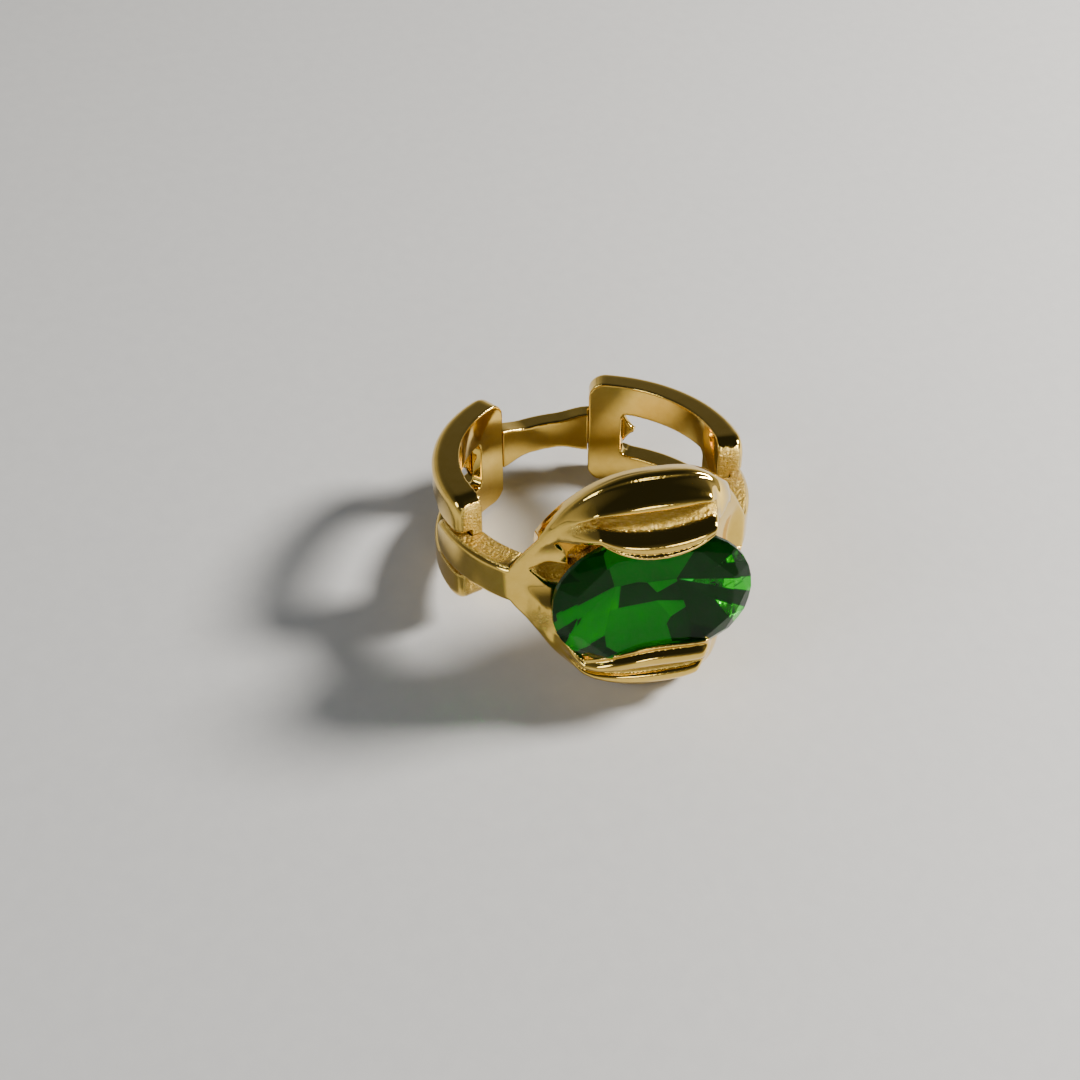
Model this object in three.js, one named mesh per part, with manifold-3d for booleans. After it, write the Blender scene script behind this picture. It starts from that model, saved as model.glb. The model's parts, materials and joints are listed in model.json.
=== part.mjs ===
// Cocktail ring: an open chain-link shank, a pair of folded leaf claws and an oval glass stone.
// Millimetres, +Z up. The ring lies on its side as it rests on a table, on the back corners of
// its two links and on the lower leaf claw.
//
// Two frames are used. In the band frame the finger axis is Z, the band's mid-plane is Z = 0 and
// the head faces -Y; places are given as a bearing from the head, a radius and a Z. In the head
// frame the stone's long axis is X and its face looks along -Y; a place's "rise" is its distance
// from the finger axis along -Y.
import * as THREE from 'three';
import { mergeVertices } from 'three/addons/utils/BufferGeometryUtils.js';
import Module from 'manifold-3d';

const wasm = await Module();
wasm.setup();

const degrees = Math.PI / 180;

// ---- Driving dimensions, millimetres and degrees ----

// Shank
const fingerRadius = 8.65;
const linkWidth = 8.1;
const linkThickness = 1.85;
const linkFront = 75 * degrees;
const linkBack = 158 * degrees;
const linkCorner = 1.1;
const railWidth = 2.3;
const railRound = 0.45;
const windowCorner = 0.6;
const frontEndArc = 19 * degrees;
const backEndArc = 15.5 * degrees;
const endBarThickness = 0.85;

// Bars between the links and the head
const barThickness = 2.0;
const barBevel = 0.22;
const shoulderSlotPlay = 0.4;
const backSlotPlay = 0.25;
const backWaistWidth = 2.2;
const backWaistShare = 0.35;
const backThickness = 1.5;
const backTabReach = 2.5 * degrees;
const frontTabSetback = 1.5 * degrees;
const tabPoint = 0.45;

// Head
const headTurn = -9 * degrees;
const headShift = 1.25;
const headRise = 0.45;
const upperBorder = 3.25;
const lowerBorder = 3.6;
const headWidest = 0.45;
const leftBorder = 2.25;
const rightBorder = 0.55;
const headLeftPower = 2.2;
const headRightPower = 3;
const headRoundness = 0.75;
const leftJointInset = 0.15;
const rightJointInset = 0.55;
const shoulderRootBearing = 51 * degrees;
const rootUnderlap = 12 * degrees;
const leftRootThickness = 1.55;
const rightRootThickness = 1.9;
const flareRoundness = 0.85;
const rootRise = [-0.15, 0.5];
const dishDepth = 0.8;
const dishRun = [0, 0.4];
const sideTaper = 1.3;

// Leaf claws
const rimStand = 1.45;
const rimCrest = 1.05;
const rimDropLength = 1.6;
const rimBorder = 0.45;
const rimSide = 1.0;
const rimRound = 0.13;
const grooveDepth = 0.85;
const grooveWidth = 0.17;
const lobeBulge = 0.5;
const lobesLeftInset = [0.6, 3.7];
const lobesRightInset = [2.2, 1.0];
const upperLipCover = 1.1;
const lowerLipCover = 1.9;
const lipCentre = 0.15;
const lipLeftCurve = 0.08;
const lipRightCurve = 0.1;
const lipThickness = 0.4;
const lipRound = 0.12;
const lipLeftStep = -0.6;
const lipRightStep = 0.3;
const armClearance = 0.55;
const armWidth = 1.15;
const seatDepth = 0.5;
const piercedInset = [3.75, 2.75];

// Stone
const stoneLength = 12.7;
const stoneWidth = 9.8;
const stoneFullness = 2.2;
const girdleStand = 2.75;
const girdleThickness = 0.3;
const crownHeight = 0.75;
const crownBreak = 0.25;
const tableShare = 0.78;
const pavilionDepth = 2.3;
const pavilionBreak = 0.55;
const pavilionBreakShare = 0.62;
const keelLength = 4.0;
const facetPairs = 8;

// Collar under the stone
const collarInset = 1.5;
const collarWall = 0.9;

// Clearances
const solderGap = 0.04;
const stoneGap = 0.05;

// The bearing, in radians, over which a bar's inner face steps up on to the link that it laps.
const stepArc = 0.002;

// How far cutting solids run past what they cut.
const slotOverrunArc = 2 * degrees;
const slotOverrun = 1;
const headOverrun = 3;
const keelOverrun = 0.01;

// How finely the head is drawn: sections along each claw, and points round the stone's outline.
const clawStations = 28;
const outlinePoints = 40;

// ---- Sizes that follow from them ----

const girdleRise = fingerRadius + girdleStand;
const rimRise = fingerRadius + rimStand;
const outerRadius = fingerRadius + linkThickness;
const slotHalf = linkWidth / 2 - railWidth;
const lapRadius = fingerRadius + endBarThickness + solderGap;
const leftJoint = leftJointInset - stoneLength / 2;
const rightJoint = stoneLength / 2 - rightJointInset;
const headLeftReach = stoneLength / 2 + leftBorder;
const headRightReach = stoneLength / 2 + rightBorder;
const upperHalfWidth = stoneWidth / 2 + upperBorder;
const lowerHalfWidth = stoneWidth / 2 + lowerBorder;
const upperLipReach = stoneWidth / 2 - upperLipCover;
const lowerLipReach = stoneWidth / 2 - lowerLipCover;
const lobesLeftEnd = lobesLeftInset.map((inset) => leftJoint + inset);
const lobesRightEnd = lobesRightInset.map((inset) => rightJoint - inset);
const rimDropStart = rightJoint - rimDropLength;
const piercedCorner = piercedInset.map((inset) => stoneLength / 2 - inset);

// ---- Small geometry tools ----

function smoothStep(from, to, value) {
  const share = Math.min(1, Math.max(0, (value - from) / (to - from)));
  return share * share * (3 - 2 * share);
}

function spread(from, to, steps) {
  return Array.from({ length: steps + 1 }, (unused, index) => from + ((to - from) * index) / steps);
}

function bandPoint(bearing, radius, z) {
  return [radius * Math.sin(bearing), -radius * Math.cos(bearing), z];
}

function headPoint(x, rise, z) {
  return [x, -rise, z];
}

// A closed body skinned over rings of points. Every ring has the same number of points.
// A looped body joins its last ring to its first, and any other is closed by its capOutlines.
function skinBody(rings, capOutlines) {
  const count = rings[0].length;
  const positions = rings.flat(2);
  const indices = [];
  const spans = capOutlines ? rings.length - 1 : rings.length;
  for (let ring = 0; ring < spans; ring += 1) {
    const here = ring * count;
    const there = ((ring + 1) % rings.length) * count;
    for (let step = 0; step < count; step += 1) {
      const next = (step + 1) % count;
      indices.push(here + step, there + step, there + next);
      indices.push(here + step, there + next, here + next);
    }
  }
  if (capOutlines) {
    const lastRing = (rings.length - 1) * count;
    const flat = capOutlines.map((outline) => outline.map(([a, b]) => new THREE.Vector2(a, b)));
    const turned = THREE.ShapeUtils.isClockWise(flat[0]) ? -1 : 1;
    for (const [a, b, c] of THREE.ShapeUtils.triangulateShape(flat[0], [])) {
      indices.push(...(turned > 0 ? [a, b, c] : [a, c, b]));
    }
    for (const [a, b, c] of THREE.ShapeUtils.triangulateShape(flat[1], [])) {
      indices.push(...(turned > 0 ? [a, c, b] : [a, b, c]).map((index) => lastRing + index));
    }
  }
  const geometry = new THREE.BufferGeometry();
  geometry.setAttribute('position', new THREE.Float32BufferAttribute(positions, 3));
  geometry.setIndex(indices);
  return facingOut(geometry);
}

function signedVolume(geometry) {
  const place = geometry.getAttribute('position');
  const index = geometry.getIndex();
  const corners = [new THREE.Vector3(), new THREE.Vector3(), new THREE.Vector3()];
  let volume = 0;
  for (let face = 0; face < index.count; face += 3) {
    corners.forEach((corner, at) => corner.fromBufferAttribute(place, index.getX(face + at)));
    volume += corners[0].dot(corners[1].cross(corners[2])) / 6;
  }
  return volume;
}

function facingOut(geometry) {
  if (signedVolume(geometry) < 0) {
    const list = geometry.getIndex().array;
    for (let face = 0; face < list.length; face += 3) {
      [list[face + 1], list[face + 2]] = [list[face + 2], list[face + 1]];
    }
  }
  return geometry;
}

function toSolid(geometry) {
  const bare = geometry.clone();
  bare.deleteAttribute('normal');
  bare.deleteAttribute('uv');
  const merged = mergeVertices(bare, 1e-5);
  return new wasm.Manifold(new wasm.Mesh({
    numProp: 3,
    vertProperties: new Float32Array(merged.getAttribute('position').array),
    triVerts: new Uint32Array(merged.getIndex().array),
  }));
}

function toGeometry(solid) {
  const mesh = solid.getMesh();
  const geometry = new THREE.BufferGeometry();
  geometry.setAttribute('position', new THREE.BufferAttribute(mesh.vertProperties, 3));
  geometry.setIndex(new THREE.BufferAttribute(mesh.triVerts, 1));
  geometry.computeVertexNormals();
  return geometry;
}

// A curved block in the band frame, between two bearings, two radii and two heights.
function bandBlock(bearings, radii, halfWidth) {
  const outline = [
    [-halfWidth, radii[0]],
    [halfWidth, radii[0]],
    [halfWidth, radii[1]],
    [-halfWidth, radii[1]],
  ];
  const rings = spread(bearings[0], bearings[1], 10).map((bearing) => (
    outline.map(([z, radius]) => bandPoint(bearing, radius, z))
  ));
  return toSolid(skinBody(rings, [outline, outline]));
}

// ---- Links ----

// A rectangle with round corners, as [along, z] points in matching order for any size.
function roundedLoop(halfLength, halfWidth, corner) {
  const longSide = 14;
  const shortSide = 3;
  const arcSteps = 4;
  const loop = [];
  const addArc = (centreX, centreZ, start) => {
    for (const turn of spread(start, start + Math.PI / 2, arcSteps)) {
      loop.push([centreX + corner * Math.cos(turn), centreZ + corner * Math.sin(turn)]);
    }
  };
  const addSide = (steps) => {
    loop.push(...spread(0, 1, steps).slice(1, -1).map((share) => ({ share })));
  };
  addArc(halfLength - corner, halfWidth - corner, 0);
  addSide(longSide);
  addArc(corner - halfLength, halfWidth - corner, Math.PI / 2);
  addSide(shortSide);
  addArc(corner - halfLength, corner - halfWidth, Math.PI);
  addSide(longSide);
  addArc(halfLength - corner, corner - halfWidth, 1.5 * Math.PI);
  addSide(shortSide);
  return fillSides(loop);
}

// Replaces each side mark by a point on the straight line between the corner points around it.
function fillSides(loop) {
  const corners = loop.map((entry, at) => (Array.isArray(entry) ? at : -1)).filter((at) => at >= 0);
  return loop.map((entry, at) => {
    if (Array.isArray(entry)) {
      return entry;
    }
    const before = loop[Math.max(...corners.filter((corner) => corner < at))];
    const later = corners.filter((corner) => corner > at);
    const after = loop[later.length ? Math.min(...later) : corners[0]];
    return before.map((value, axis) => value + (after[axis] - value) * entry.share);
  });
}

function buildLink(side) {
  const middle = (linkFront + linkBack) / 2;
  const halfArc = (linkBack - linkFront) / 2;
  const reference = (fingerRadius + outerRadius) / 2;
  const outside = roundedLoop(halfArc * reference, linkWidth / 2, linkCorner);
  const windowArc = halfArc - (frontEndArc + backEndArc) / 2;
  const windowShift = ((frontEndArc - backEndArc) / 2) * reference;
  const inside = roundedLoop(windowArc * reference, slotHalf, windowCorner);
  const roundShare = railRound / railWidth;
  const roundedEdge = (turn) => [
    roundShare * (1 - Math.cos(turn)),
    outerRadius - railRound * (1 - Math.sin(turn)),
  ];
  const quarter = spread(0, Math.PI / 2, 3).map(roundedEdge);
  const section = [
    ...spread(1, 0, 4).map((share) => [share, fingerRadius]),
    ...quarter,
    [0.5, outerRadius],
    ...quarter.map(([share, radius]) => [1 - share, radius]).reverse(),
  ];
  const rings = outside.map(([outerAlong, outerZ], at) => {
    const innerAlong = inside[at][0] + windowShift;
    const innerZ = inside[at][1];
    return section.map(([share, radius]) => {
      const along = outerAlong + (innerAlong - outerAlong) * share;
      const z = outerZ + (innerZ - outerZ) * share;
      return bandPoint(side * (middle + along / reference), radius, z);
    });
  });
  const slotRadii = [fingerRadius + endBarThickness, outerRadius + slotOverrun];
  const frontSlot = [linkFront - slotOverrunArc, linkFront + frontEndArc + slotOverrunArc];
  const backSlot = [linkBack - backEndArc - slotOverrunArc, linkBack + slotOverrunArc];
  const onThisSide = (slot) => slot.map((bearing) => side * bearing);
  const solid = toSolid(skinBody(rings))
    .subtract(bandBlock(onThisSide(frontSlot), slotRadii, slotHalf))
    .subtract(bandBlock(onThisSide(backSlot), slotRadii, slotHalf));
  return toGeometry(solid);
}

// ---- Bars ----

// A bevelled bar section: half width, inner radius and outer radius.
function barOutline(halfWidth, innerRadius, topRadius) {
  return [
    [-halfWidth, innerRadius],
    [halfWidth, innerRadius],
    [halfWidth, topRadius - barBevel],
    [halfWidth - barBevel, topRadius],
    [barBevel - halfWidth, topRadius],
    [-halfWidth, topRadius - barBevel],
  ];
}

// The share of full width that a tab keeps at a distance from its tip, as an arc of a circle.
function tabShare(fromTip, length) {
  const share = Math.min(1, fromTip / length);
  return tabPoint + (1 - tabPoint) * Math.sqrt(1 - (1 - share) ** 2);
}

function buildBackBridge() {
  const topRadius = fingerRadius + backThickness;
  const endWidth = 2 * (slotHalf - backSlotPlay);
  const bodyHalf = Math.PI - linkBack - solderGap / fingerRadius;
  const tipHalf = Math.PI - linkBack + backEndArc + backTabReach;
  const lap = spread(bodyHalf + stepArc, tipHalf, 9);
  const offsets = [
    ...lap.map((offset) => -offset).reverse(),
    ...spread(-bodyHalf, bodyHalf, 14),
    ...lap,
  ];
  const outlines = offsets.map((offset) => {
    const away = Math.abs(offset);
    const flare = smoothStep(backWaistShare, 1, away / bodyHalf);
    const tab = tabShare(tipHalf - away, 2 * backTabReach);
    const width = (backWaistWidth + (endWidth - backWaistWidth) * flare) * tab;
    const innerRadius = away <= bodyHalf ? fingerRadius : lapRadius;
    return barOutline(width / 2, innerRadius, topRadius);
  });
  const rings = outlines.map((outline, at) => (
    outline.map(([z, radius]) => bandPoint(Math.PI + offsets[at], radius, z))
  ));
  return toGeometry(toSolid(skinBody(rings, [outlines[0], outlines.at(-1)])));
}

// ---- Head outline and heights, in the head frame ----

// The half width of the upper (side 1) or the lower (side -1) half of the head.
function headHalf(x, side) {
  const away = x - headWidest;
  const reach = away < 0 ? headLeftReach : headRightReach;
  const power = away < 0 ? headLeftPower : headRightPower;
  const widest = side > 0 ? upperHalfWidth : lowerHalfWidth;
  return widest * Math.max(0, 1 - (Math.abs(away) / reach) ** power) ** headRoundness;
}

// The rise of a circle about the finger axis.
function circleRise(radius, x) {
  return Math.sqrt(radius ** 2 - (x + headShift) ** 2);
}

const leftRootRise = circleRise(fingerRadius + leftRootThickness, leftJoint);
const rightRootRise = circleRise(fingerRadius + rightRootThickness, rightJoint);

// The rise of a claw's outer rim: highest at its crest, and level with the roots at the joints.
function rimHeight(x) {
  const fall = (rimRise - leftRootRise) / (leftJoint - rimCrest) ** 2;
  const rightRise = rimRise - fall * (rightJoint - rimCrest) ** 2;
  const drop = (rightRise - rightRootRise) / (rightJoint - rimDropStart) ** 2;
  return rimRise - fall * (x - rimCrest) ** 2 - drop * Math.max(0, x - rimDropStart) ** 2;
}

// The rise of a claw's lip: over the stone in the middle, and a step from the root at a joint.
function lipHeight(x) {
  const top = girdleRise + girdleThickness / 2 + crownHeight + stoneGap + lipThickness;
  const joint = x < 0 ? leftJoint : rightJoint;
  const end = x < 0 ? leftRootRise + lipLeftStep : rightRootRise + lipRightStep;
  return top - (top - end) * Math.abs(x / joint) ** 3;
}

function stoneHalf(x, grow) {
  const share = Math.abs(x) / (stoneLength / 2 + grow);
  const room = Math.max(0, 1 - share ** stoneFullness);
  return (stoneWidth / 2 + grow) * room ** (1 / stoneFullness);
}

// The stone's outline as [x, z] points, grown outwards by a clearance.
function stoneOutline(grow, steps) {
  return spread(0, 2 * Math.PI, steps).slice(0, -1).map((turn) => {
    const power = 2 / stoneFullness;
    const x = Math.sign(Math.cos(turn)) * Math.abs(Math.cos(turn)) ** power;
    const z = Math.sign(Math.sin(turn)) * Math.abs(Math.sin(turn)) ** power;
    return [x * (stoneLength / 2 + grow), z * (stoneWidth / 2 + grow)];
  });
}

// An upright prism of the stone's outline between two rises.
function stonePrism(grow, bottom, top) {
  const outline = stoneOutline(grow, outlinePoints);
  const rings = [bottom, top].map((rise) => outline.map(([x, z]) => headPoint(x, rise, z)));
  return toSolid(skinBody(rings, [outline, outline]));
}

// ---- Stone ----

// Cuts away everything beyond a plane, given as a bearing round the stone and the distances
// from its middle line at two rises.
function facetCut(solid, turn, low, high) {
  const slope = Math.atan2(low.distance - high.distance, high.rise - low.rise);
  const size = 60;
  const block = new THREE.BoxGeometry(size, size, size);
  block.translate(size / 2, 0, 0);
  block.rotateZ(-slope);
  block.translate(low.distance, -low.rise, 0);
  block.rotateY(-turn);
  return solid.subtract(toSolid(block));
}

function supportDistance(turn, outline) {
  return Math.max(...outline.map(([x, z]) => x * Math.cos(turn) + z * Math.sin(turn)));
}

function buildStone(grow) {
  const girdleBottom = girdleRise - girdleThickness / 2;
  const girdleTop = girdleRise + girdleThickness / 2;
  const tableRise = girdleTop + crownHeight + grow;
  const keelRise = girdleBottom - pavilionDepth - grow;
  const outline = stoneOutline(grow, outlinePoints);
  const keelHalf = keelLength / 2;
  let solid = stonePrism(grow, keelRise - keelOverrun, tableRise);
  for (let facet = 0; facet < 2 * facetPairs; facet += 1) {
    const turn = ((facet + 0.5) * Math.PI) / facetPairs;
    const edge = supportDistance(turn, outline);
    solid = facetCut(
      solid,
      turn,
      { rise: girdleTop, distance: edge },
      { rise: tableRise, distance: edge * (1 + 3 * tableShare) / 4 },
    );
    solid = facetCut(
      solid,
      turn,
      { rise: girdleBottom - pavilionDepth * pavilionBreak, distance: edge * pavilionBreakShare },
      { rise: girdleBottom, distance: edge },
    );
  }
  for (let facet = 0; facet < facetPairs; facet += 1) {
    const turn = (facet * 2 * Math.PI) / facetPairs;
    const edge = supportDistance(turn, outline);
    solid = facetCut(
      solid,
      turn,
      { rise: girdleTop + crownHeight * crownBreak, distance: edge },
      { rise: tableRise, distance: edge * tableShare },
    );
    solid = facetCut(
      solid,
      turn,
      { rise: keelRise, distance: keelHalf * Math.abs(Math.cos(turn)) },
      { rise: girdleBottom, distance: edge },
    );
  }
  return solid;
}

// ---- Collar under the stone ----

function buildCollar(stoneRoom) {
  const outside = stoneOutline(-collarInset, outlinePoints);
  const inside = stoneOutline(-collarInset - collarWall, outlinePoints);
  const rings = outside.map(([outerX, outerZ], at) => {
    const [innerX, innerZ] = inside[at];
    return [
      headPoint(outerX, circleRise(fingerRadius, outerX), outerZ),
      headPoint(outerX, girdleRise, outerZ),
      headPoint(innerX, girdleRise, innerZ),
      headPoint(innerX, circleRise(fingerRadius, innerX), innerZ),
    ];
  });
  return toSolid(skinBody(rings)).subtract(stoneRoom);
}

// ---- Leaf claws ----

// The half width from the head's middle to a claw's lip: over the stone in the middle, round the
// stone's left end at a small distance, and along the head's edge at the right end.
function lipHalf(x, side) {
  const reach = side > 0 ? upperLipReach : lowerLipReach;
  const curve = x < lipCentre ? lipLeftCurve : lipRightCurve;
  const overStone = reach + curve * (x - lipCentre) ** 2;
  const besideStone = x < 0 ? stoneHalf(x, armClearance) : Infinity;
  return Math.min(overStone, besideStone, headHalf(x, side) - armWidth);
}

// The claw's wall towards the stone: against the collar in the middle, and clear of it at the
// ends, which leaves pierced corners under the stone.
function clawWall(x) {
  const open = smoothStep(...piercedCorner, Math.abs(x));
  const closed = stoneHalf(x, solderGap - collarInset);
  return closed + (stoneHalf(x, stoneGap) - closed) * open;
}

// A claw's section across the head as [z, rise] points, from the finger hole up over the rim,
// across the two lobes of the leaf to the lip, and back down beside the stone.
function clawOutline(x, side) {
  const rimZ = headHalf(x, side);
  const rimTop = rimHeight(x);
  const lipZ = lipHalf(x, side);
  const lipTop = lipHeight(x);
  const lipUnder = lipTop - lipThickness - stoneGap;
  const crownEdge = girdleRise + girdleThickness / 2;
  const edgeRise = Math.min(crownEdge, lipUnder);
  const coversStone = lipZ < stoneHalf(x, stoneGap) && edgeRise === crownEdge;
  const edgeZ = coversStone ? stoneHalf(x, stoneGap) : lipZ + stoneGap;
  const wallZ = Math.min(clawWall(x), edgeZ);
  const bottom = circleRise(fingerRadius, x);
  const leaf = smoothStep(...lobesLeftEnd, x) * (1 - smoothStep(...lobesRightEnd, x));
  const outline = [
    [rimZ - sideTaper, bottom],
    [rimZ - rimRound, rimTop - rimSide],
    [rimZ, rimTop - rimBorder],
    [rimZ - rimRound, rimTop - rimRound],
    [rimZ - rimBorder, rimTop],
  ];
  for (const share of spread(0, 1, 14).slice(1, -1)) {
    const groove = Math.exp(-(((share - 0.5) / grooveWidth) ** 2));
    const lobe = Math.abs(Math.sin(2 * Math.PI * share));
    const slope = rimTop + (lipTop - rimTop) * share;
    const across = rimZ - rimBorder + (lipZ - rimZ + 2 * rimBorder) * share;
    outline.push([across, slope + leaf * (lobeBulge * lobe - grooveDepth * groove)]);
  }
  outline.push([lipZ + rimBorder, lipTop]);
  outline.push([lipZ, lipTop - lipRound]);
  outline.push([lipZ + stoneGap, lipTop - lipThickness]);
  outline.push([edgeZ, edgeRise]);
  outline.push([wallZ, Math.min(girdleRise, edgeRise) - seatDepth]);
  outline.push([wallZ, bottom]);
  return outline;
}

// A solid skinned over sections across the head, each a list of [z, rise] points.
function headSolid(side, stations, sectionAt) {
  const outlines = stations.map((x) => sectionAt(x, side));
  const rings = outlines.map((outline, at) => (
    outline.map(([z, rise]) => headPoint(stations[at], rise, side * z))
  ));
  return toSolid(skinBody(rings, [outlines[0], outlines.at(-1)]));
}

function buildClaw(side) {
  return headSolid(side, spread(leftJoint, rightJoint, clawStations), clawOutline);
}

// The space that the shoulders leave for a claw: everything above, below and outside it.
function clawRoomOutline(x, side) {
  const inner = Math.min(lipHalf(x, side), clawWall(x)) - solderGap;
  const outer = headHalf(x, side) + headOverrun;
  return [[inner, 0], [outer, 0], [outer, 2 * rimRise], [inner, 2 * rimRise]];
}

function clawRoom(side) {
  const stations = spread(leftJoint - solderGap, rightJoint + solderGap, clawStations);
  return headSolid(side, stations, clawRoomOutline);
}

// ---- Shoulders: a bar lapped over the link, flaring into a dished root under the head ----

function rootOutline(halfWidth, innerHalf, innerRadius, topRadius, middleZ, dish) {
  const shares = spread(-1, 1, 12);
  const inner = shares.map((share) => [middleZ + innerHalf * share, innerRadius]);
  const outer = shares.map((share) => {
    const edge = Math.abs(share) === 1 ? barBevel : 0;
    return [middleZ + halfWidth * share, topRadius - edge - dish * (1 - share * share)];
  });
  return [...inner, ...outer.reverse()];
}

function buildShoulder(side) {
  const barRadius = fingerRadius + barThickness;
  const rootRadius = fingerRadius + (side < 0 ? leftRootThickness : rightRootThickness);
  const joint = side < 0 ? leftJoint : rightJoint;
  const tip = linkFront + frontEndArc - frontTabSetback;
  const bodyStart = linkFront - solderGap / fingerRadius;
  const jointBearing = Math.abs(Math.asin((joint + headShift) / rootRadius) + headTurn);
  const upperHalf = headHalf(joint, 1);
  const lowerHalf = headHalf(joint, -1);
  const rootHalf = (upperHalf + lowerHalf) / 2;
  const rootMiddle = headRise + (upperHalf - lowerHalf) / 2;
  const bearings = [
    ...spread(tip, bodyStart + stepArc, 9),
    ...spread(bodyStart, shoulderRootBearing, 8),
    ...spread(shoulderRootBearing, jointBearing - rootUnderlap, 14).slice(1),
  ];
  const outlines = bearings.map((bearing) => {
    const reach = (shoulderRootBearing - bearing) / (shoulderRootBearing - jointBearing);
    const flare = Math.min(1, Math.max(0, reach)) ** flareRoundness;
    const rootShare = smoothStep(...rootRise, reach);
    const bar = (slotHalf - shoulderSlotPlay) * tabShare(tip - bearing, 2 * backTabReach);
    const halfWidth = bar + (rootHalf - bar) * flare;
    const innerHalf = halfWidth - sideTaper * flare;
    const innerRadius = bearing <= bodyStart ? fingerRadius : lapRadius;
    const topRadius = barRadius + (rootRadius - barRadius) * rootShare;
    const dish = dishDepth * smoothStep(...dishRun, reach);
    return rootOutline(halfWidth, innerHalf, innerRadius, topRadius, rootMiddle * flare, dish);
  });
  const rings = outlines.map((outline, at) => (
    outline.map(([z, radius]) => bandPoint(side * bearings[at], radius, z))
  ));
  return toSolid(skinBody(rings, [outlines[0], outlines.at(-1)]));
}

// ---- Assembly ----

const gold = { color: 0xd9ab45, metalness: 1, roughness: 0.16 };
const glass = { color: 0x0a7a20, metalness: 0, roughness: 0.03 };

function namedMesh(name, geometry, finish) {
  geometry.computeVertexNormals();
  const mesh = new THREE.Mesh(geometry, new THREE.MeshStandardMaterial(finish));
  mesh.name = name;
  return mesh;
}

const headPlace = new THREE.Matrix4()
  .makeRotationZ(headTurn)
  .multiply(new THREE.Matrix4().makeTranslation(headShift, 0, headRise));

function inBandFrame(solid) {
  return toSolid(toGeometry(solid).applyMatrix4(headPlace));
}

const stoneRoom = buildStone(stoneGap);
const collarRoom = stonePrism(solderGap - collarInset, 0, 2 * rimRise);
const headRoom = inBandFrame(collarRoom.add(stoneRoom).add(clawRoom(1)).add(clawRoom(-1)));

const band = new THREE.Group();
band.add(namedMesh('left_link', buildLink(-1), gold));
band.add(namedMesh('right_link', buildLink(1), gold));
band.add(namedMesh('back_bridge', buildBackBridge(), gold));
for (const [name, side] of [['left_shoulder', -1], ['right_shoulder', 1]]) {
  const solid = buildShoulder(side).subtract(headRoom);
  band.add(namedMesh(name, toGeometry(solid), gold));
}

const head = new THREE.Group();
head.rotation.z = headTurn;
head.position.set(headShift, 0, headRise).applyAxisAngle(new THREE.Vector3(0, 0, 1), headTurn);
head.add(namedMesh('stone_collar', toGeometry(buildCollar(stoneRoom)), gold));
for (const [name, side] of [['upper_leaf_claw', 1], ['lower_leaf_claw', -1]]) {
  const solid = buildClaw(side).subtract(stoneRoom);
  head.add(namedMesh(name, toGeometry(solid), gold));
}
head.add(namedMesh('green_stone', toGeometry(buildStone(0)), glass));

const ring = new THREE.Group();
ring.add(band, head);

// The lowest height in front of and behind the finger axis, with the ring tipped by an angle.
function lowestPoints(tip) {
  ring.rotation.x = tip;
  ring.updateMatrixWorld(true);
  const corner = new THREE.Vector3();
  const lowest = { front: Infinity, back: Infinity };
  ring.traverse((node) => {
    if (!node.isMesh) {
      return;
    }
    const place = node.geometry.getAttribute('position');
    for (let at = 0; at < place.count; at += 1) {
      corner.fromBufferAttribute(place, at).applyMatrix4(node.matrixWorld);
      const side = corner.y < 0 ? 'front' : 'back';
      lowest[side] = Math.min(lowest[side], corner.z);
    }
  });
  return lowest;
}

// Tips the ring until its head and its back touch the same level.
function settle() {
  let low = -30 * degrees;
  let high = 0;
  for (let round = 0; round < 40; round += 1) {
    const tip = (low + high) / 2;
    const { front, back } = lowestPoints(tip);
    if (front < back) {
      high = tip;
    } else {
      low = tip;
    }
  }
}

settle();
ring.updateMatrixWorld(true);
const box = new THREE.Box3().setFromObject(ring, true);
const centre = box.getCenter(new THREE.Vector3());

const cocktailRing = new THREE.Group();
ring.position.set(-centre.x, -centre.y, -box.min.z);
cocktailRing.add(ring);
cocktailRing.updateMatrixWorld(true);

export default cocktailRing;
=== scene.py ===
"""A gold-plated cocktail ring with a green glass stone, lying on a pale surface.

Shapes are built in millimetres in two frames of the ring's own. In the band frame the finger axis
is Z, the shank's mid-plane is Z = 0 and the head faces -Y; a place is a bearing from the head, a
radius and a Z. In the head frame a place is an x along the stone, a rise from the finger axis
towards the stone's face, and a z across the stone. A finished piece is turned into the part's
frame, in metres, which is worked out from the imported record's rest faces.
"""
import json
import math

import bmesh
import bpy
import numpy as np
from mathutils import Matrix, Vector


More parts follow.
